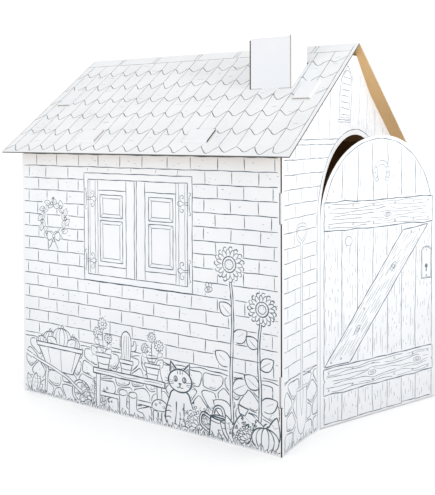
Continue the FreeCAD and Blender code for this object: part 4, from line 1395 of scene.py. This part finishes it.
# CUT, the dark painted-shade edge, on the front slope; PALE_CUT on the back slope.
roof_board = board(roof_section, roof_place, roof_sheet, roof_slots, 60.0, "s",
                   lambda s, t: CUT if s > SLOPE else PALE_CUT)
add_piece("roof", "roof_panel", [roof_board], (roof_paper, roof_liner, roof_edge_painted_shade, back_edge))


# ------------------------------------------------------------------ print on the roof
# Both slopes are printed with curved tiles: joints straight up the slope, and at each course a
# wave that hangs from joint to joint. A band of ridge caps runs along the crease.

TILE, TILE_COURSE = 58.6, 87.8
CUSP, RIDGE_BAND = 41.0, 530.0          # lowest cusps of the tiles, and foot of the ridge caps
LAST_JOINT, RAKE_LINE = 482.6, ROOF_HALF_LENGTH - 11.5
LEFT_LINE = -RAKE_LINE - 9
TILE_WAVE = np.array([(0, 0), (0.2, -12), (0.42, -26), (0.55, -30), (0.68, -26), (0.82, -13), (1, 0)])
CAP_JOINTS = (-400.0, -235.0, -53.0, 108.0, 268.0, 397.0)

roof_ink = printing_ink("roof_ink", (0.085, 0.105, 0.12), (0.20, 0.235, 0.26))


def tiles():
    """Tile pattern of one slope, in x and in distance up from the eave."""
    joints = np.arange(LAST_JOINT, -RAKE_LINE - TILE, -TILE)
    strokes = []
    for cusp in np.arange(CUSP, RIDGE_BAND - 20, TILE_COURSE):
        for x in joints[1:]:
            shift = rng.normal(0, 2.0, 2)
            wave = TILE_WAVE * (TILE, rng.uniform(0.8, 1.12)) + (x, cusp)
            wave[1:-1] += shift
            strokes.append(curve(wave[wave[:, 0] > LEFT_LINE], 3.2))
        if cusp > CUSP:
            hung = [(LAST_JOINT, 0), (LAST_JOINT + 17, -12), (LAST_JOINT + 30, -4), (RAKE_LINE, 20)]
            strokes.append(curve(np.array(hung) + (0, cusp), FINE))
    for x in joints[joints > -RAKE_LINE]:
        for v in rng.uniform(CUSP, RIDGE_BAND - 15, 9):
            scratch = [(x + rng.uniform(9, 46), v), (x + 28 + rng.normal(0, 9), v + rng.normal(0, 2.5))]
            strokes.append(drawn(scratch, 1.1, step=12))
        joint = [(x + rng.normal(0, 0.9), v) for v in np.linspace(CUSP, RIDGE_BAND, 8)]
        strokes.append(curve(joint, 2.3, step=9))
    hung = [(LAST_JOINT, 0), (LAST_JOINT + 8, -24), (LAST_JOINT + 28, -26), (RAKE_LINE - 2, -4),
            (RAKE_LINE, 40)]
    strokes.append(curve(np.array(hung) + (0, CUSP), FINE))
    strokes.append(drawn([(RAKE_LINE, CUSP + 40), (RAKE_LINE, RIDGE_BAND + 30)], FINE, step=14))
    strokes.append(drawn([(LEFT_LINE, RIDGE_BAND), (RAKE_LINE, RIDGE_BAND)], FINE, step=11))
    strokes.append(drawn([(LEFT_LINE, 5), (LEFT_LINE, SLOPE - 5)], FINE, step=14))
    return strokes + [drawn([(x, RIDGE_BAND + 2), (x + 4, SLOPE - 5)], 3.0)
                      for joint in CAP_JOINTS for x in (joint, joint + 11)]


# Nothing shows of the print where a lock tab lies on the slope: its place and a little more, in
# x and distance up from the eave. The chimney's place is bare on the front slope.
foot, half = SLOPE - (HALF_DEPTH + 3) / COS, EAVE_TAB_WIDTH / 2 + 3
bare = [rectangle(x - half, x + half, foot, foot + LOCK_TAB_LENGTH + 10)
        for x in (-EAVE_TAB_OFFSET, EAVE_TAB_OFFSET)]
middle, half = SLOPE - GABLE_TAB_FROM_RIDGE, GABLE_TAB_WIDTH / 2 + 3
inner, outer = HALF_LENGTH - LOCK_TAB_LENGTH - 3, HALF_LENGTH + 3
bare += [rectangle(*across, middle - half, middle + half) for across in ((-outer, -inner), (inner, outer))]
chimney_patch = rectangle(CHIMNEY_MIDDLE - CHIMNEY_WIDTH / 2 - 2, CHIMNEY_RIGHT + 2,
                          SLOPE - (CHIMNEY_FRONT + 3) / COS, SLOPE - CHIMNEY_SLOT_TOP + 3)
for name, patches, to_sheet in (
        ("print_front_slope", bare + [chimney_patch], lambda p: np.stack([2 * SLOPE - p[:, 1], p[:, 0]], 1)),
        ("print_back_slope", bare, lambda p: np.stack([p[:, 1], -p[:, 0]], 1))):
    ink_lines(name, clear_of(tiles(), patches), to_sheet, roof_place, roof_ink)


# ------------------------------------------------------------------ chimney shell
# Two side plates and the back plate of the chimney, folded from one plain strip. A foot at each
# side's lower end goes through the roof and folds in under it.

CHIMNEY_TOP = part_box("chimney_shell")[1][2] / MM
CHIMNEY_LEFT = CHIMNEY_RIGHT - CHIMNEY_WIDTH
FOOT_LENGTH = 45.0
STEP_DOWN = 9.0         # the back plate and the side beyond it are this much lower
shell_section = folded([(CHIMNEY_RIGHT, -CHIMNEY_FRONT), (CHIMNEY_RIGHT, -CHIMNEY_BACK),
                        (CHIMNEY_LEFT, -CHIMNEY_BACK), (CHIMNEY_LEFT, -CHIMNEY_FRONT)])


def on_roof(y):
    """Height at which a board stands on the front slope."""
    return RIDGE - y * TAN + SEAT_GAP / COS


def chimney_feet():
    """Foot of each side plate: out of the plate's lower end, through the roof, folded in under it."""
    under = -2 * BOARD - SEAT_GAP
    section = folded([(CHIMNEY_RIGHT - FOOT_LENGTH, under), (CHIMNEY_RIGHT, under),
                      (CHIMNEY_RIGHT, SEAT_GAP)])
    place = down_slope(section, CHIMNEY_FOOT_FROM_RIDGE, CHIMNEY_FOOT_WIDTH)
    right = tab(section, place, 0, CHIMNEY_FOOT_WIDTH)
    points, sheet, faces = right
    left = points * (-1, 1, 1) + (2 * CHIMNEY_MIDDLE * MM, 0, 0)
    return [right, (left, sheet, [(group[:, ::-1], material) for group, material in faces])]


low, high = on_roof(CHIMNEY_FRONT), on_roof(CHIMNEY_BACK)
depth, end, shorter = CHIMNEY_FRONT - CHIMNEY_BACK, shell_section.length, CHIMNEY_TOP - STEP_DOWN
shell_outline = [(0, low), (depth, high), (depth + CHIMNEY_WIDTH, high), (end, low), (end, shorter),
                 (depth + 10, shorter), (depth - 10, CHIMNEY_TOP), (0, CHIMNEY_TOP)]
# The right plate's edges are pale and the back and left plates' dark: lit and shaded copies of one cut edge,
# painted light on the side towards the door-side lamp and painted shade on the rest.
sides = board(shell_section, upright(shell_section), shell_outline,
              edge=lambda s, t: PALE_CUT if s < depth else CUT)
add_piece("chimney_sides", "chimney_shell", [sides] + chimney_feet(), BOARD_PAPERS)


# ------------------------------------------------------------------ chimney front
# Front plate, lid and tuck flap in one strip with soft folds, laid over the side plates' gap. A
# tongue at its foot goes down through the roof.

LID_DROP, TUCK, LID_RADIUS = 4.0, 45.0, 8.0
FOOT_PRESSED_IN = 1.2   # the plate's foot is this much below its seat, pressed into the roof's paper
TONGUE_LENGTH = 30.0    # below the roof's sheet
lid = CHIMNEY_TOP - LID_DROP
tuck_y = -CHIMNEY_BACK - BOARD - 1.0
tongue_tip = RIDGE - CHIMNEY_FRONT * TAN - BOARD / COS - TONGUE_LENGTH
cover_section = folded([(tuck_y, lid - TUCK), (tuck_y, lid), (-CHIMNEY_FRONT, lid),
                        (-CHIMNEY_FRONT, tongue_tip)], LID_RADIUS)
plate_foot = on_roof(CHIMNEY_FRONT - BOARD) - FOOT_PRESSED_IN
down_to, tip = cover_section.length - (plate_foot - tongue_tip), cover_section.length
x0, x1 = (CHIMNEY_MIDDLE + way * (CHIMNEY_WIDTH / 2 - BOARD - SEAT_GAP) for way in (-1, 1))
t0, t1 = (CHIMNEY_MIDDLE + way * TONGUE_WIDTH / 2 for way in (-1, 1))
cover_outline = [(0, x0), (down_to, x0), (down_to, t0), (tip, t0),
                 (tip, t1), (down_to, t1), (down_to, x1), (0, x1)]
# The chimney front's paper: the white paper painted a little darker and more even, painted shade that tones
# down its brightly lit face.
plain_paper_painted_shade = paper("plain_paper_painted_shade", (0.7, 0.713, 0.738), (0.68, 0.695, 0.722), 0.55, 0.15, 0.25)
# Edges that start at the plate's foot, but for the one right of the tongue, show white face paper instead of
# a cut edge: painted light on edges in shade against the roof.
cover_board = board(cover_section, level(cover_section), cover_outline, (), 50.0, "s",
                    lambda s, t: OUTSIDE if abs(s - down_to) < 1.0 and t != t1 else PALE_CUT)
add_piece("chimney_cover", "chimney_front", [cover_board],
          (plain_paper_painted_shade, kraft_paper_painted_shade, cut_edge_painted_shade, pale_edge))
